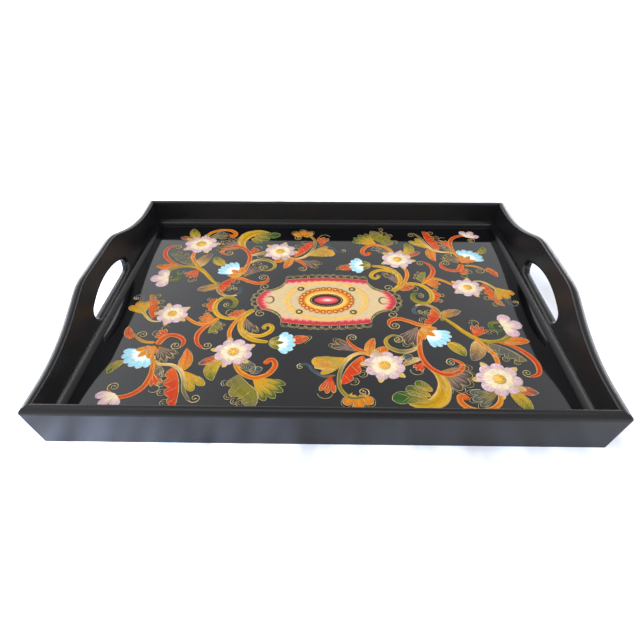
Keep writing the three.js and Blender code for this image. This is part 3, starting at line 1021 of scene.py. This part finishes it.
def paint_left_corner(p):
    """The sprays at the left of the front half: two daisies' stems, a tulip and its long arc."""
    # daisy at the left and the plume behind it
    p.scroll([(-140, -29), (-131, -37), (-121, -42), (-112, -39), (-106, -31)], (3, 4, 4.5, 4),
             "orange amber")
    p.daisy((-154, -25), 16, 12)
    p.scroll([(-162, -37), (-171, -37), (-179, -30), (-185, -21), (-190, -14)], (1.5, 3, 3.5, 3),
             "sand olive")
    p.fan((-183, -26), 118, 84, 23, 3, "yellow yellow amber", depth=0.22, pot=p.leaves, veins=2)
    p.feather([(-172, -33), (-177, -20), (-180, -6), (-185, 8)], 8, "red rust tan", 4, hand=-1)
    p.scroll([(-183, -20), (-189, -6), (-192, 4), (-197, 7), (-201, 2)], (2, 3, 2.5, 2),
             "reed slate", "mist", (3.2, 1.2, 1), pot=p.ghosts)
    # leaf and scroll where the stem meets the ring
    p.fan((-107, -35), 168, 74, 19, 3, "orange orange rust", depth=0.3, pot=p.leaves, veins=2)
    p.scroll([(-109, -38), (-117, -45), (-122, -57), (-120, -69), (-113, -77)],
             (3, 5.5, 5.5, 4, 2), "orange red red", curl=(5.2, 1.5, 1))
    p.feather([(-104, -36), (-109, -45), (-112, -55)], 7, "reed moss", 3, hand=1)
    # tulip with its red scroll
    p.scroll([(-160, -69), (-170, -68), (-178, -63), (-184, -56)], (3, 3.5, 3, 1.5), "amber tan")
    p.leaf((-183, -64), (-192, -46), 8, "rust red rust", bend=1.5)
    p.curl((-180, -59), 100, 5.5, 1.4, -1)
    p.scroll([(-157, -72), (-154, -63), (-148, -58), (-139, -60), (-133, -67), (-134, -75)],
             (6, 7, 5, 5, 4.5, 2.5), "rust red red", curl=(5.5, 1.6, -1))
    p.fan((-150, -60), 150, 92, 13, 4, "red red rust", depth=0.4, pot=p.leaves, veins=1)
    for spot_x, spot_y in ((-162, -56), (-155, -48)):
        p.line(arc((spot_x, spot_y), 3.6, 0.3, 4.6, 18), 0.5)
    p.fan((-155, -74), -52, 70, 22, 4, "tan lilac smoke", depth=0.3, pot=p.ghosts, veins=2)
    p.tulip((-162, -79), -128, 26, "orange amber")
    p.fan((-158, -74), -118, 130, 11, 3, "amber orange rust", depth=0.35, pot=p.middles, veins=1)
    p.leaf((-181, -95), (-190, -111), 9, "olive moss green", bend=-3)
    p.scroll([(-157, -86), (-154, -98), (-152, -112), (-155, -127), (-164, -136), (-175, -138),
              (-184, -130)], (3, 4.5, 5, 5, 5, 4.5, 2), "amber rust red rust", curl=(5.6, 1.5, -1))
    p.half_daisy((-176, -134), -122, 17, 150)
    p.fan((-152, -108), -62, 46, 19, 3, "red red rust", depth=0.25, pot=p.leaves)
    p.line(arc((-145, -128), 4.6, -2.6, 1.0, 20), 0.5)
    p.leaf((-152, -99), (-143, -118), 8.5, "tan mist slate", bend=1.5, pot=p.ghosts)
    # stem to the lily leaf, the heart leaf and the feather
    p.scroll([(-156, -93), (-147, -98), (-137, -99), (-128, -105), (-122, -117), (-119, -130),
              (-112, -142)], (2.5, 3.5, 4, 4.5, 4, 3.5, 2.5), "amber sand sand reed mist",
             curl=(5.5, 1.3, 1))
    p.leaf((-127, -106), (-128, -77), 12, "amber orange rust", bend=-2.5, front=0.5, back=0.9)
    p.fan((-124, -106), -52, 52, 28, 2, "amber yellow olive", depth=0.34, pot=p.leaves, veins=4)
    p.feather([(-135, -102), (-130, -115), (-126, -130), (-123, -149)], 10, "rust red red", 4,
              hand=-1)


def paint_left_middle(p):
    """The sprays left of the middle: the ring beside the medallion, a daisy, a tulip on a
    double stem and the fans at the front."""
    # the ring and the hub that the stems leave
    p.scroll([(-80, -27), (-92, -32), (-104, -29), (-112, -19), (-113, -6), (-107, 4)],
             (3, 4.5, 5, 5.5, 5.5, 4), "olive yellow yellow olive")
    p.scroll([(-108, 3), (-99, 3), (-93, -3), (-94, -12), (-102, -13)], (4, 5.5, 6, 5, 3),
             "olive moss green", "reed", (4, 1.3, -1))
    p.feather([(-111, -21), (-116, -11), (-114, 2)], 6.5, "rust red", 3, hand=1)
    p.leaf((-80, -20), (-97, -28), 11, "orange red rust", lobes=3, depth=0.35)
    p.scroll([(-72, -17), (-78, -23), (-84, -31)], (5, 7, 6), "olive yellow")
    p.line(arc((-96, -22), 4.2, 1.0, 5.2, 20), 0.5)
    # stem and daisy
    p.scroll([(-82, -27), (-89, -39), (-92, -53), (-89, -67)], (4, 4.5, 4.5, 4),
             "amber orange orange")
    p.daisy((-84, -81), 18, 5)
    p.leaf((-95, -88), (-113, -98), 9.5, "rust red mist", lobes=2, depth=0.2)
    p.leaf((-94, -92), (-97, -118), 12.5, "yellow olive green", bend=-5)
    # double stem: one branch ends in a hook, the other in the tulip
    p.scroll([(-80, -29), (-83, -42), (-78, -55), (-67, -64), (-53, -67)], (3, 5.5, 6.5, 6, 3.5),
             "amber yellow yellow olive", veins=2)
    p.scroll([(-79, -50), (-72, -56), (-62, -58), (-54, -53), (-51, -46), (-55, -41), (-60, -45),
              (-57, -48)], (3, 4.5, 4.5, 5, 5, 4.5, 4, 3), "yellow yellow olive")
    p.fan((-79, -31), -72, 52, 24, 3, "tan lilac smoke", depth=0.26, pot=p.ghosts, veins=2)
    p.tulip((-50, -68), 2, 23, "olive moss green")
    p.leaf((-31, -65), (-15, -60), 12, "red red rust", front=0.45, back=0.8)
    p.line(even_curve([(-21, -58), (-12, -59), (-19, -69)], 14), 0.5)
    # hook, grey-blue leaves, plume and fan at the front
    p.scroll([(-81, -96), (-74, -107), (-62, -114), (-50, -110), (-44, -99), (-47, -91),
              (-53, -93)], (3.5, 5, 5, 5, 5.5, 5, 4.5), "amber orange rust red")
    p.spot((-52, -94.5), 3.0, "rust", p.scrolls, 18)
    p.leaf((-77, -95), (-62, -107), 12, "tan slate mist", lobes=2, depth=0.2, bend=2, pot=p.ghosts)
    p.leaf((-66, -107), (-55, -102), 9, "reed slate slate", pot=p.ghosts, veins=2)
    p.feather([(-77, -111), (-70, -123), (-60, -134), (-58, -149)], 15, "reed moss reed", 4,
              hand=-1, plain=0.32)
    p.curl((-70, -148), 185, 4.5, 0.9, 1)
    p.fan((-63, -113), -40, 66, 33, 4, "amber yellow olive green", [0, 0.45, 0.72, 0.92],
          depth=0.24, pot=p.leaves, veins=2)


def paint_right_middle(p):
    """The sprays right of the middle: the buds, a daisy, the cloud-shaped leaf and the feathers
    that hang from the curved stem."""
    p.scroll([(39, -80), (30, -75), (24, -68), (21, -61)], (3.5, 4.5, 3.5, 2), "rust red",
             curl=(5.5, 1.5, -1))
    p.fan((31, -79), 152, 44, 26, 2, "tan lilac lilac smoke", depth=0.3, pot=p.ghosts, veins=2)
    p.leaf((41, -84), (47, -60), 9.5, "amber orange rust", bend=1.5, front=0.6)
    p.leaf((43, -84), (58, -73), 10.5, "amber orange rust", bend=-1, front=0.6, back=0.5)
    p.daisy((54, -97), 18.5, 8)
    p.scroll([(43, -85), (34, -81), (24, -86), (17, -97), (13, -112), (14, -126), (22, -136),
              (35, -135)], (2.5, 4, 4.5, 4, 3.5, 3.5, 4, 2), "amber sand reed moss reed",
             curl=(5.5, 1.5, 1))
    p.fan((26, -88), -160, 50, 37, 3, "amber yellow olive yellow", depth=0.3, pot=p.leaves,
          veins=3)
    p.leaf((12, -101), (-9, -88), 14, "yellow amber yellow", bend=3, front=0.7, back=0.45)
    p.scroll([(10, -110), (0, -111), (-9, -105), (-15, -97), (-22, -96)], (2, 4, 4, 3, 2.5),
             "reed slate slate", "mist", (3.8, 1.1, 1), pot=p.ghosts)
    p.feather([(36, -85), (27, -96), (20, -108), (15, -121)], 10, "rust red red", 3, hand=1)
    p.fan((6, -110), -100, 54, 22, 3, "red red rust", depth=0.3, pot=p.leaves, veins=2)
    p.line(arc((1, -131), 6.5, -3.0, -0.1, 24), 0.5)
    p.fan((28, -127), -88, 108, 21, 3, "yellow amber orange", depth=0.26, pot=p.ghosts, veins=2,
          start=0.35)
    # pale curl beside the long stem
    p.scroll([(89, -70), (80, -77), (69, -78), (60, -72), (58, -63), (64, -56), (71, -56)],
             (2.5, 5, 5.5, 5, 4, 3, 2), "sand reed olive reed", curl=(5.8, 1.5, -1))
    p.leaf((88, -88), (70, -98), 7, "sand tan", bend=-2, veins=3)
    p.spot((76, -86), 4.2, "slate", p.ghosts, 20)
    p.line(arc((76, -86), 4.6, -0.6, 4.6, 24), 0.5)
    p.fan((91, -42), -118, 56, 30, 3, "tan lilac smoke", depth=0.24, pot=p.ghosts, veins=2)
    # hook into the tulip's calyx, and the long scroll below it
    p.scroll([(105, -41), (93, -39), (84, -34), (74, -30), (65, -33), (63, -41)],
             (4, 5.5, 5, 5, 5.5, 2.5), "orange rust red", curl=(6, 1.6, 1))
    p.scroll([(97, -43), (92, -55), (89, -70), (89, -86), (95, -100), (107, -108), (119, -104),
              (124, -95), (117, -88)], (5, 6, 5, 5, 5, 5, 5.5, 5, 2), "orange rust red red rust",
             curl=(5.2, 1.6, 1))
    p.fan((104, -103), -38, 122, 27, 5, "tan tan lilac smoke", depth=0.24, pot=p.ghosts, veins=2)
    p.tulip((95, -47), -40, 29, "amber orange", 78)
    p.leaf((116, -66), (129, -84), 12, "yellow olive green", bend=2)
    p.fan((91, -91), -128, 52, 15, 3, "rust red red", depth=0.22, pot=p.leaves)
    p.line(arc((82, -103), 5.6, 2.9, 6.1, 24), 0.5)
    # acanthus plume
    p.scroll([(92, -97), (100, -108), (103, -122), (97, -137), (84, -144), (70, -141)],
             (2.5, 7, 12, 15, 11, 4), "olive yellow yellow olive", "sand", veins=4, pot=p.leaves)
    p.leaf((92, -128), (79, -117), 9, "yellow moss green", front=0.7, back=0.45)
    p.leaf((90, -134), (70, -124), 11, "yellow moss green", front=0.8, back=0.45)
    p.leaf((88, -140), (57, -138), 15, "yellow moss green green", bend=-4, lobes=3, depth=0.2,
           front=0.8, back=0.5)


def paint_right_corner(p):
    """The sprays at the right of the front half: the long stem with its spiral bud, the large
    daisy and the leaves under it."""
    p.scroll([(93, -8), (103, -6), (112, -12), (117, -23), (117, -33)], (2, 3.5, 4.5, 4, 3),
             "sand tan reed")
    p.scroll([(96, -9), (91, -13), (91, -20), (96, -22)], (2.5, 4, 4, 2), "mist slate", "mist",
             (3.4, 1.1, 1), pot=p.ghosts)
    p.feather([(112, -11), (114, -23), (106, -35), (99, -42)], 9, "rust red red", 3, hand=-1)
    p.leaf((117, -25), (138, -17), 12, "amber tan lilac", bend=1, lobes=2, depth=0.16)
    p.scroll([(117, -26), (126, -37), (136, -51), (147, -61), (162, -63), (174, -57), (180, -46),
              (177, -37), (169, -33)], (3, 4.5, 5, 6, 5, 5, 5.5, 5, 4),
             "olive yellow olive moss green", "reed")
    p.scroll([(172, -34), (164, -36), (163, -44), (170, -48), (175, -42)], (4, 5, 5, 4, 2),
             "moss green green", "reed", (3, 1.0, 1))
    p.half_daisy((174, -40), 8, 20, 190)
    p.fan((143, -58), 62, 66, 20, 4, "rust red red", depth=0.3, pot=p.leaves, veins=2)
    for x, y in ((147, -36), (162, -51)):
        p.line(arc((x, y), 4.6, -0.6, 3.6, 20), 0.5)
        p.line(arc((x, y), 2.2, 0.4, 4.4, 14), 0.4)
    p.scroll([(143, -60), (150, -70), (156, -83), (156, -97)], (3.5, 5, 5, 4),
             "amber orange orange")
    p.leaf((144, -62), (134, -90), 14, "sand tan slate", bend=3)
    p.leaf((168, -63), (194, -63), 12.5, "amber orange rust", bend=1.5)
    p.scroll([(163, -64), (175, -69), (185, -79), (191, -92), (189, -105), (180, -110)],
             (2, 4, 5.5, 5.5, 5, 2.5), "rust red red", curl=(5, 1.4, -1))
    p.feather([(152, -66), (163, -72), (173, -80), (183, -90)], 10, "reed mist reed", 4, hand=-1)
    p.daisy((152, -113), 20, 15)
    p.scroll([(149, -130), (145, -141), (135, -148), (122, -148), (114, -141), (114, -133),
              (120, -133)], (4, 5, 5, 5, 5.5, 5.5, 4), "amber orange orange rust")
    p.spot((118.5, -135), 3.2, "rust", p.scrolls, 18)
    p.fan((148, -128), -158, 62, 26, 3, "tan reed slate", depth=0.28, pot=p.ghosts, veins=3)
    p.leaf((161, -124), (181, -129), 10.5, "rust red mist", lobes=2, depth=0.18)
    p.leaf((158, -128), (168, -151), 12, "yellow olive green", bend=2.5)


# Medallion, in millimetres from its middle

END_X, END_Y = 73.0, 17.0  # the bowed end: its furthest point, and the height it ends at
TOP_X, TOP_Y = 45.0, 41.5  # the bowed top: the place it ends at, and its highest point
BITE, BITE_RADIUS = (65.0, 37.0), 20.0  # the round bite out of each corner
MIDDLE = np.array([1.5, 0.0])  # on the board


def bowed_end(y):
    """How far out the end lies at a height y: a parabola, furthest at the middle."""
    return END_X - (END_X - BITE[0]) * (y / END_Y) ** 2


def bowed_top(x):
    """How far up the top lies at x: a parabola, highest at the middle."""
    return TOP_Y - (TOP_Y - BITE[1]) * (x / TOP_X) ** 2


def medallion_edge():
    """The whole edge. Its first quarter runs from the right-hand end to the top: the bowed end,
    a quarter circle bitten out of the corner, and the bowed top. The others mirror it."""
    y, x = np.linspace(0, END_Y, 13), np.linspace(TOP_X, 0, 40)
    end, top = np.stack([bowed_end(y), y], 1), np.stack([x, bowed_top(x)], 1)
    bite = arc(BITE, BITE_RADIUS, -math.pi / 2, -math.pi, 40)
    quarter = np.vstack([end[:-1], bite[:-1], top])
    half = np.vstack([quarter[:-1], quarter[::-1] * (-1, 1)])
    return np.vstack([half, half[::-1][1:] * (1, -1)])


def ground_tones(p, grid):
    """The ground's colours: parchment, which deepens to crimson in a ragged band along the bowed
    ends and sides, and is a little darker in the middle."""
    x, y = np.abs(grid[..., 0]), np.abs(grid[..., 1])
    ragged = 1.1 * np.sin(0.9 * grid[..., 0]) + 0.7 * np.sin(2.3 * grid[..., 0] + 1.0)
    from_top = bowed_top(x) - y + 0.8 * ragged
    near_top = np.clip(1 - from_top / 11, 0, 1) * (x < TOP_X + 1)
    from_end = bowed_end(y) - x + 0.9 * np.sin(1.3 * grid[..., 1])
    near_end = np.clip(1 - from_end / 12, 0, 1) * (y < END_Y + 0.5)
    tones = p.tones("parchment parchment rose crimson crimson")
    tone = blend_stops(np.maximum(near_top, near_end), tones, [0, 0.14, 0.36, 0.5, 1])
    return tone * (1 - 0.1 * np.exp(-((x / 30) ** 2 + (y / 24) ** 2))[..., None])


def paint_medallion(p):
    """The medallion in the middle of the board: its ground, ovals one inside another, beads, an
    eye, and gold lace all round."""
    c = p.c
    ground = Paint("medallion_ground", 0.10, paired=False)
    rings = Paint("medallion_rings", 0.14, paired=False)
    beads = Paint("medallion_beads", 0.17, paired=False)
    eye = Paint("medallion_eye", 0.19, paired=False)
    trim = Paint("medallion_gold", 0.24, paired=False)
    edge = medallion_edge()
    grid = edge[:, None] * np.linspace(0, 1, 34)[None, :, None]
    ground.add(grid + MIDDLE, ground_tones(p, grid))
    paint_ovals(p, rings)
    for k in range(26):
        spot = MIDDLE + (26.6, 20.4) * ways(FULL_TURN * k / 26)
        p.spot(spot, 2.9, c["rust"] * 0.85, beads, 18)
        p.spot(spot, 1.5, "ochre", eye, 12)
    for k in range(56):
        p.spot(MIDDLE + (16.0, 10.2) * ways(FULL_TURN * k / 56), 0.45, "gold", eye, 7)
    shape = (12.6, 6.6) * ways(np.linspace(0, FULL_TURN, 64))
    iris = shape[:, None] * np.linspace(0, 1, 10)[None, :, None]
    glint = np.exp(-(((iris[..., 0] - 1) / 6.5) ** 2 + ((iris[..., 1] - 0.3) / 2.6) ** 2))
    eye.add(iris + MIDDLE, blend_stops(glint, p.tones("crimson rose white"), [0, 0.55, 1.2]))
    for sx in (-1, 1):
        for sy in (-1, 1):
            spot = MIDDLE + (27.5 * sx, 20 * sy)
            p.spot(spot, 3.7, c["dark"] * 2, beads, 24)
            p.spot(spot, 2.6, "reed", eye, 20)
            p.spot(spot, 1.7, "parchment", trim, 16)
            paint_bite(p, np.array([sx, sy]), ground, trim)
        # small scroll at each end
        comma = arc((0, 0), 1, -2.4, 2.4, 30) * (-4.4 * sx, 1.35 * 4.4) + MIDDLE + (59.5 * sx, 0)
        p.scroll(comma, (0.8, 2.0, 2.2, 1.4), "reed lilac", "reed", pot=beads)
        for sy in (-1, 1):
            p.spot(MIDDLE + (62.5 * sx, 4.6 * sy), 1.2, c["reed"] * 0.6, trim, 12)
    paint_lace(p, trim)
    p.line(edge + MIDDLE, 0.5, taper=False, pot=trim)
    return ground, rings, beads, eye, trim


def paint_ovals(p, pot):
    """The ovals, each a ring as wide as given, or filled if no width is given. An oval with half
    axes a and b may ripple: its reach is 1 + depth * sin(waves * turn)."""
    parchment = p.c["parchment"]
    for a, b, width, colours, depth, waves in (
        (45, 35.5, 8, "parchment ochre ochre parchment", 0.012, 46),
        (30, 24, None, [parchment, parchment * 0.92], 0.01, 34),
        (26.5, 21, 6, "orange ember orange", 0, 0),
        (22, 16.5, None, "ochre sand middle", 0, 0),
        (17.5, 11.5, None, "dark dark", 0, 0),
    ):
        turn = np.linspace(0, FULL_TURN, 120)
        spoke = (a, b) * ways(turn) * (1 + depth * np.sin(waves * turn))[:, None]
        share = np.linspace(1 - width / a if width else 0, 1, 6)
        band = MIDDLE + spoke[:, None] * share[None, :, None]
        across = np.broadcast_to(np.linspace(0, 1, 6)[None, :], band.shape[:2])
        pot.add(band, blend_stops(across, p.tones(colours)))


def paint_bite(p, mirror, ground, trim):
    """The scroll along one bite, dark between two gold lines, wound up at its outer end."""
    bow = arc(BITE, 20.6, 1.05 * math.pi, 1.5 * math.pi + 0.1, 30) * mirror + MIDDLE
    side = left_of(bow) * (1.6 * np.sin(np.linspace(0.25, 2.8, 30)))[:, None]
    tones = [p.c["slate"] * 0.5, p.c["moss"] * 0.6, p.c["mist"]]
    band = np.stack([bow - side, bow, bow + side], 1)
    ground.add(band, blend_stops(np.linspace(0, 1, 30), tones)[:, None])
    p.line(bow + side, 0.5, pot=trim)
    p.line(bow - side, 0.4, pot=trim)
    radius = 5.6 * (1 - 0.75 * np.linspace(0, 1, 44))[:, None]
    wound = (66.5, 23.5) + arc((0, 0), 1, -0.55 * math.pi, 2.2 * math.pi, 44) * radius
    p.line(wound * mirror + MIDDLE, 0.8, pot=trim)


def paint_lace(p, trim):
    """Double gold loops along the bowed top and bottom, and round both ends."""
    for sy in (-1, 1):
        for x in range(-40, 41, 8):
            for radius, first, last in ((5.1, -0.3, 3.44), (3.3, -0.1, 3.24)):
                loop = arc((x, bowed_top(x) + 1.6), radius, first, last, 20)
                p.line(loop * (1, sy) + MIDDLE, 0.4, pot=trim)
    for sx in (-1, 1):
        for y in range(-14, 15, 7):
            for radius, first, last in ((4.4, -1.8, 1.8), (3.1, -1.7, 1.7)):
                loop = arc((bowed_end(y) + 1.8, y), radius, first, last, 18)
                p.line(loop * (sx, 1) + MIDDLE, 0.4, pot=trim)


# Operators


class TRAY_OT_walls(bpy.types.Operator):
    """Builds the four leaning walls, two of them with hand holes"""

    bl_idname = "tray.walls"
    bl_label = "Walls"

    def execute(self, context):
        scene = context.scene
        colour = tuple(scene.tray_colours.lacquer)
        black = lacquer_material("wall_lacquer", colour, 0.26, 0.36, dust=0.1)
        for name in SIDES:
            build_wall(name, scene.tray_sizes, black)
        return {"FINISHED"}


class TRAY_OT_beads(bpy.types.Operator):
    """Builds the hollow bead at the foot of every wall"""

    bl_idname = "tray.beads"
    bl_label = "Beads"

    def execute(self, context):
        scene = context.scene
        colour = tuple(scene.tray_colours.lacquer)
        black = lacquer_material("bead_lacquer", colour, 0.2, 0.3, dust=0.8)
        for name in SIDES:
            build_bead(name, scene.tray_sizes, black)
        return {"FINISHED"}


class TRAY_OT_board(bpy.types.Operator):
    """Finishes the base board, the splines and the brads"""

    bl_idname = "tray.board"
    bl_label = "Base board and joints"

    def execute(self, context):
        ground = ground_material(tuple(context.scene.tray_colours.ground))
        wood, steel = wood_material(), steel_material()
        for name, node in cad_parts.items():
            if name == "base_board":
                finish = ground
            elif name.endswith("_spline"):
                finish = wood
            elif name.endswith("_brad"):
                finish = steel
            else:
                continue
            for place in node.material_slots:
                place.link = "OBJECT"
                place.material = finish
        return {"FINISHED"}


class TRAY_OT_flowers(bpy.types.Operator):
    """Paints the flowers, leaves and scrolls on the base board"""

    bl_idname = "tray.flowers"
    bl_label = "Flowers and scrolls"

    def execute(self, context):
        painter = Painter(palette(context.scene.tray_colours))
        paint_left_corner(painter)
        paint_left_middle(painter)
        paint_right_middle(painter)
        paint_right_corner(painter)
        oils = paint_material("oil_paint")
        for pot in painter.oil_pots():
            pot.build(oils)
        painter.gold.build(gold_material(tuple(context.scene.tray_colours.gold)))
        return {"FINISHED"}


class TRAY_OT_medallion(bpy.types.Operator):
    """Paints the medallion in the middle of the base board"""

    bl_idname = "tray.medallion"
    bl_label = "Medallion"

    def execute(self, context):
        painter = Painter(palette(context.scene.tray_colours))
        *painted, trim = paint_medallion(painter)
        oils = paint_material("medallion_paint", 0.26)
        for pot in painted:
            pot.build(oils)
        trim.build(gold_material(tuple(context.scene.tray_colours.gold)))
        return {"FINISHED"}


class TRAY_OT_stage(bpy.types.Operator):
    """Sets up the pale floor, the soft light and the camera"""

    bl_idname = "tray.stage"
    bl_label = "Stage"

    def execute(self, context):
        scene = context.scene
        floor = build_floor(scene.tray_looks.floor_size / 2)
        scene.world = build_sky(scene.tray_looks.sky)
        lamp = bpy.data.lights.new("soft_box", "AREA")
        lamp.shape = "RECTANGLE"
        lamp.size, lamp.size_y = 1.6, 0.35
        lamp.energy = scene.tray_looks.soft_box
        box = bpy.data.objects.new("soft_box", lamp)
        box.location = (0.0, -0.25, 1.5)
        camera = bpy.data.objects.new("camera", bpy.data.cameras.new("camera"))
        place_camera(camera)
        for thing in (floor, box, camera):
            scene.collection.objects.link(thing)
        scene.camera = camera
        scene.view_settings.view_transform = "Standard"
        return {"FINISHED"}


def build_floor(half):
    """A pale floor that glows a little, like a lit table under white cloth, more at the left, with
    the painted light and shade of cloth folds in its glow.
    """
    corners = np.array([(-half, -half, 0), (half, -half, 0), (half, half, 0), (-half, half, 0)])
    mesh = quad_mesh("pale_floor", corners, np.array([[0, 1, 2, 3]]))
    pale, shader, tree = new_material("pale_floor")
    shader.inputs["Base Color"].default_value = (0.66, 0.66, 0.67, 1)
    shader.inputs["Roughness"].default_value = 0.9
    shader.inputs["Specular IOR Level"].default_value = 0.1
    shader.inputs["Emission Color"].default_value = (0.74, 0.88, 1.25, 1)
    place = add_node(tree, "ShaderNodeTexCoord").outputs["Object"]
    parts = add_node(tree, "ShaderNodeSeparateXYZ", {0: place})
    slope = remap(tree, parts.outputs["X"], -0.25, 0.1, 2.0, 0.4)
    # the glow rises and falls in soft stretched patches: painted light and shade of cloth folds, on
    # a floor that is flat
    fold_shade_glow = remap(tree, object_noise(tree, 26, 2, stretch=(1, 0.3, 1)), 0.35, 0.65, 0.3, 1.5)
    tree.links.new(calculate(tree, "MULTIPLY", slope, fold_shade_glow), shader.inputs["Emission Strength"])
    mesh.materials.append(pale)
    return bpy.data.objects.new("pale_floor", mesh)


def build_sky(brightness):
    """Light from all round: pale panels to the left and right, a bright band low down that is
    brighter at the sides, and a dimmer top."""
    world = bpy.data.worlds.new("light_tent")
    world.use_nodes = True
    tree = world.node_tree
    tree.nodes.clear()
    way = add_node(tree, "ShaderNodeTexCoord").outputs["Generated"]
    parts = add_node(tree, "ShaderNodeSeparateXYZ", {0: way}).outputs
    across, up = parts["X"], parts["Z"]
    left = remap(tree, across, -0.08, -0.5, 0.0, 1.1)
    right = remap(tree, across, 0.12, 0.5, 0.0, 0.45)
    top = remap(tree, up, 0.35, 0.9, 1.22, 0.7)
    band = remap(tree, calculate(tree, "ABSOLUTE", across), 0.3, 0.6, 1.6, 7.0)
    low = calculate(tree, "MULTIPLY", remap(tree, up, 0.1, 0.22, 1.0, 0.0), band)
    above, sides = calculate(tree, "ADD", top, low), calculate(tree, "ADD", left, right)
    power = calculate(tree, "MULTIPLY", calculate(tree, "ADD", above, sides), brightness)
    glow = add_node(
        tree, "ShaderNodeBackground", {"Color": (0.97, 0.98, 1.0, 1), "Strength": power}
    )
    out = add_node(tree, "ShaderNodeOutputWorld", {"Surface": glow.outputs[0]})
    out.is_active_output = True
    return world


def place_camera(camera):
    """Stands the camera back from its target along the line given by azimuth and elevation."""
    azimuth, elevation = math.radians(0.79), math.radians(38.85)
    distance, target = 0.6109, np.array([-0.0059, 0.0531, -0.0563])
    back = np.array([
        math.sin(azimuth) * math.cos(elevation),
        -math.cos(azimuth) * math.cos(elevation),
        math.sin(elevation),
    ])
    camera.location = target + back * distance
    camera.rotation_euler = (math.pi / 2 - elevation, 0, azimuth)
    camera.data.lens = 28.28
    camera.data.sensor_width = 36.0
    camera.data.clip_start = 0.01


class TRAY_PT_panel(bpy.types.Panel):
    """Lists the steps that build the tray"""

    bl_idname = "TRAY_PT_panel"
    bl_label = "Painted tray"
    bl_space_type = "VIEW_3D"
    bl_region_type = "UI"
    bl_category = "Tray"

    def draw(self, context):
        for step in STEPS:
            self.layout.operator(step.bl_idname)
        for group in ("tray_sizes", "tray_colours", "tray_looks"):
            held = getattr(context.scene, group)
            for key in held.bl_rna.properties.keys():
                if key not in ("rna_type", "name"):
                    self.layout.prop(held, key)


STEPS = (
    TRAY_OT_walls,
    TRAY_OT_beads,
    TRAY_OT_board,
    TRAY_OT_medallion,
    TRAY_OT_flowers,
    TRAY_OT_stage,
)
GROUPS = {"tray_sizes": TraySizes, "tray_colours": TrayColours, "tray_looks": TrayLooks}


def register():
    for group in (*GROUPS.values(), *STEPS, TRAY_PT_panel):
        bpy.utils.register_class(group)
    for name, group in GROUPS.items():
        setattr(bpy.types.Scene, name, PointerProperty(type=group))


def unregister():
    for name in GROUPS:
        delattr(bpy.types.Scene, name)
    for group in (TRAY_PT_panel, *reversed(STEPS), *GROUPS.values()):
        bpy.utils.unregister_class(group)


def main():
    register()
    for step in STEPS:
        family, name = step.bl_idname.split(".")
        getattr(getattr(bpy.ops, family), name)()
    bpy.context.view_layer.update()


if __name__ == "__main__":
    main()
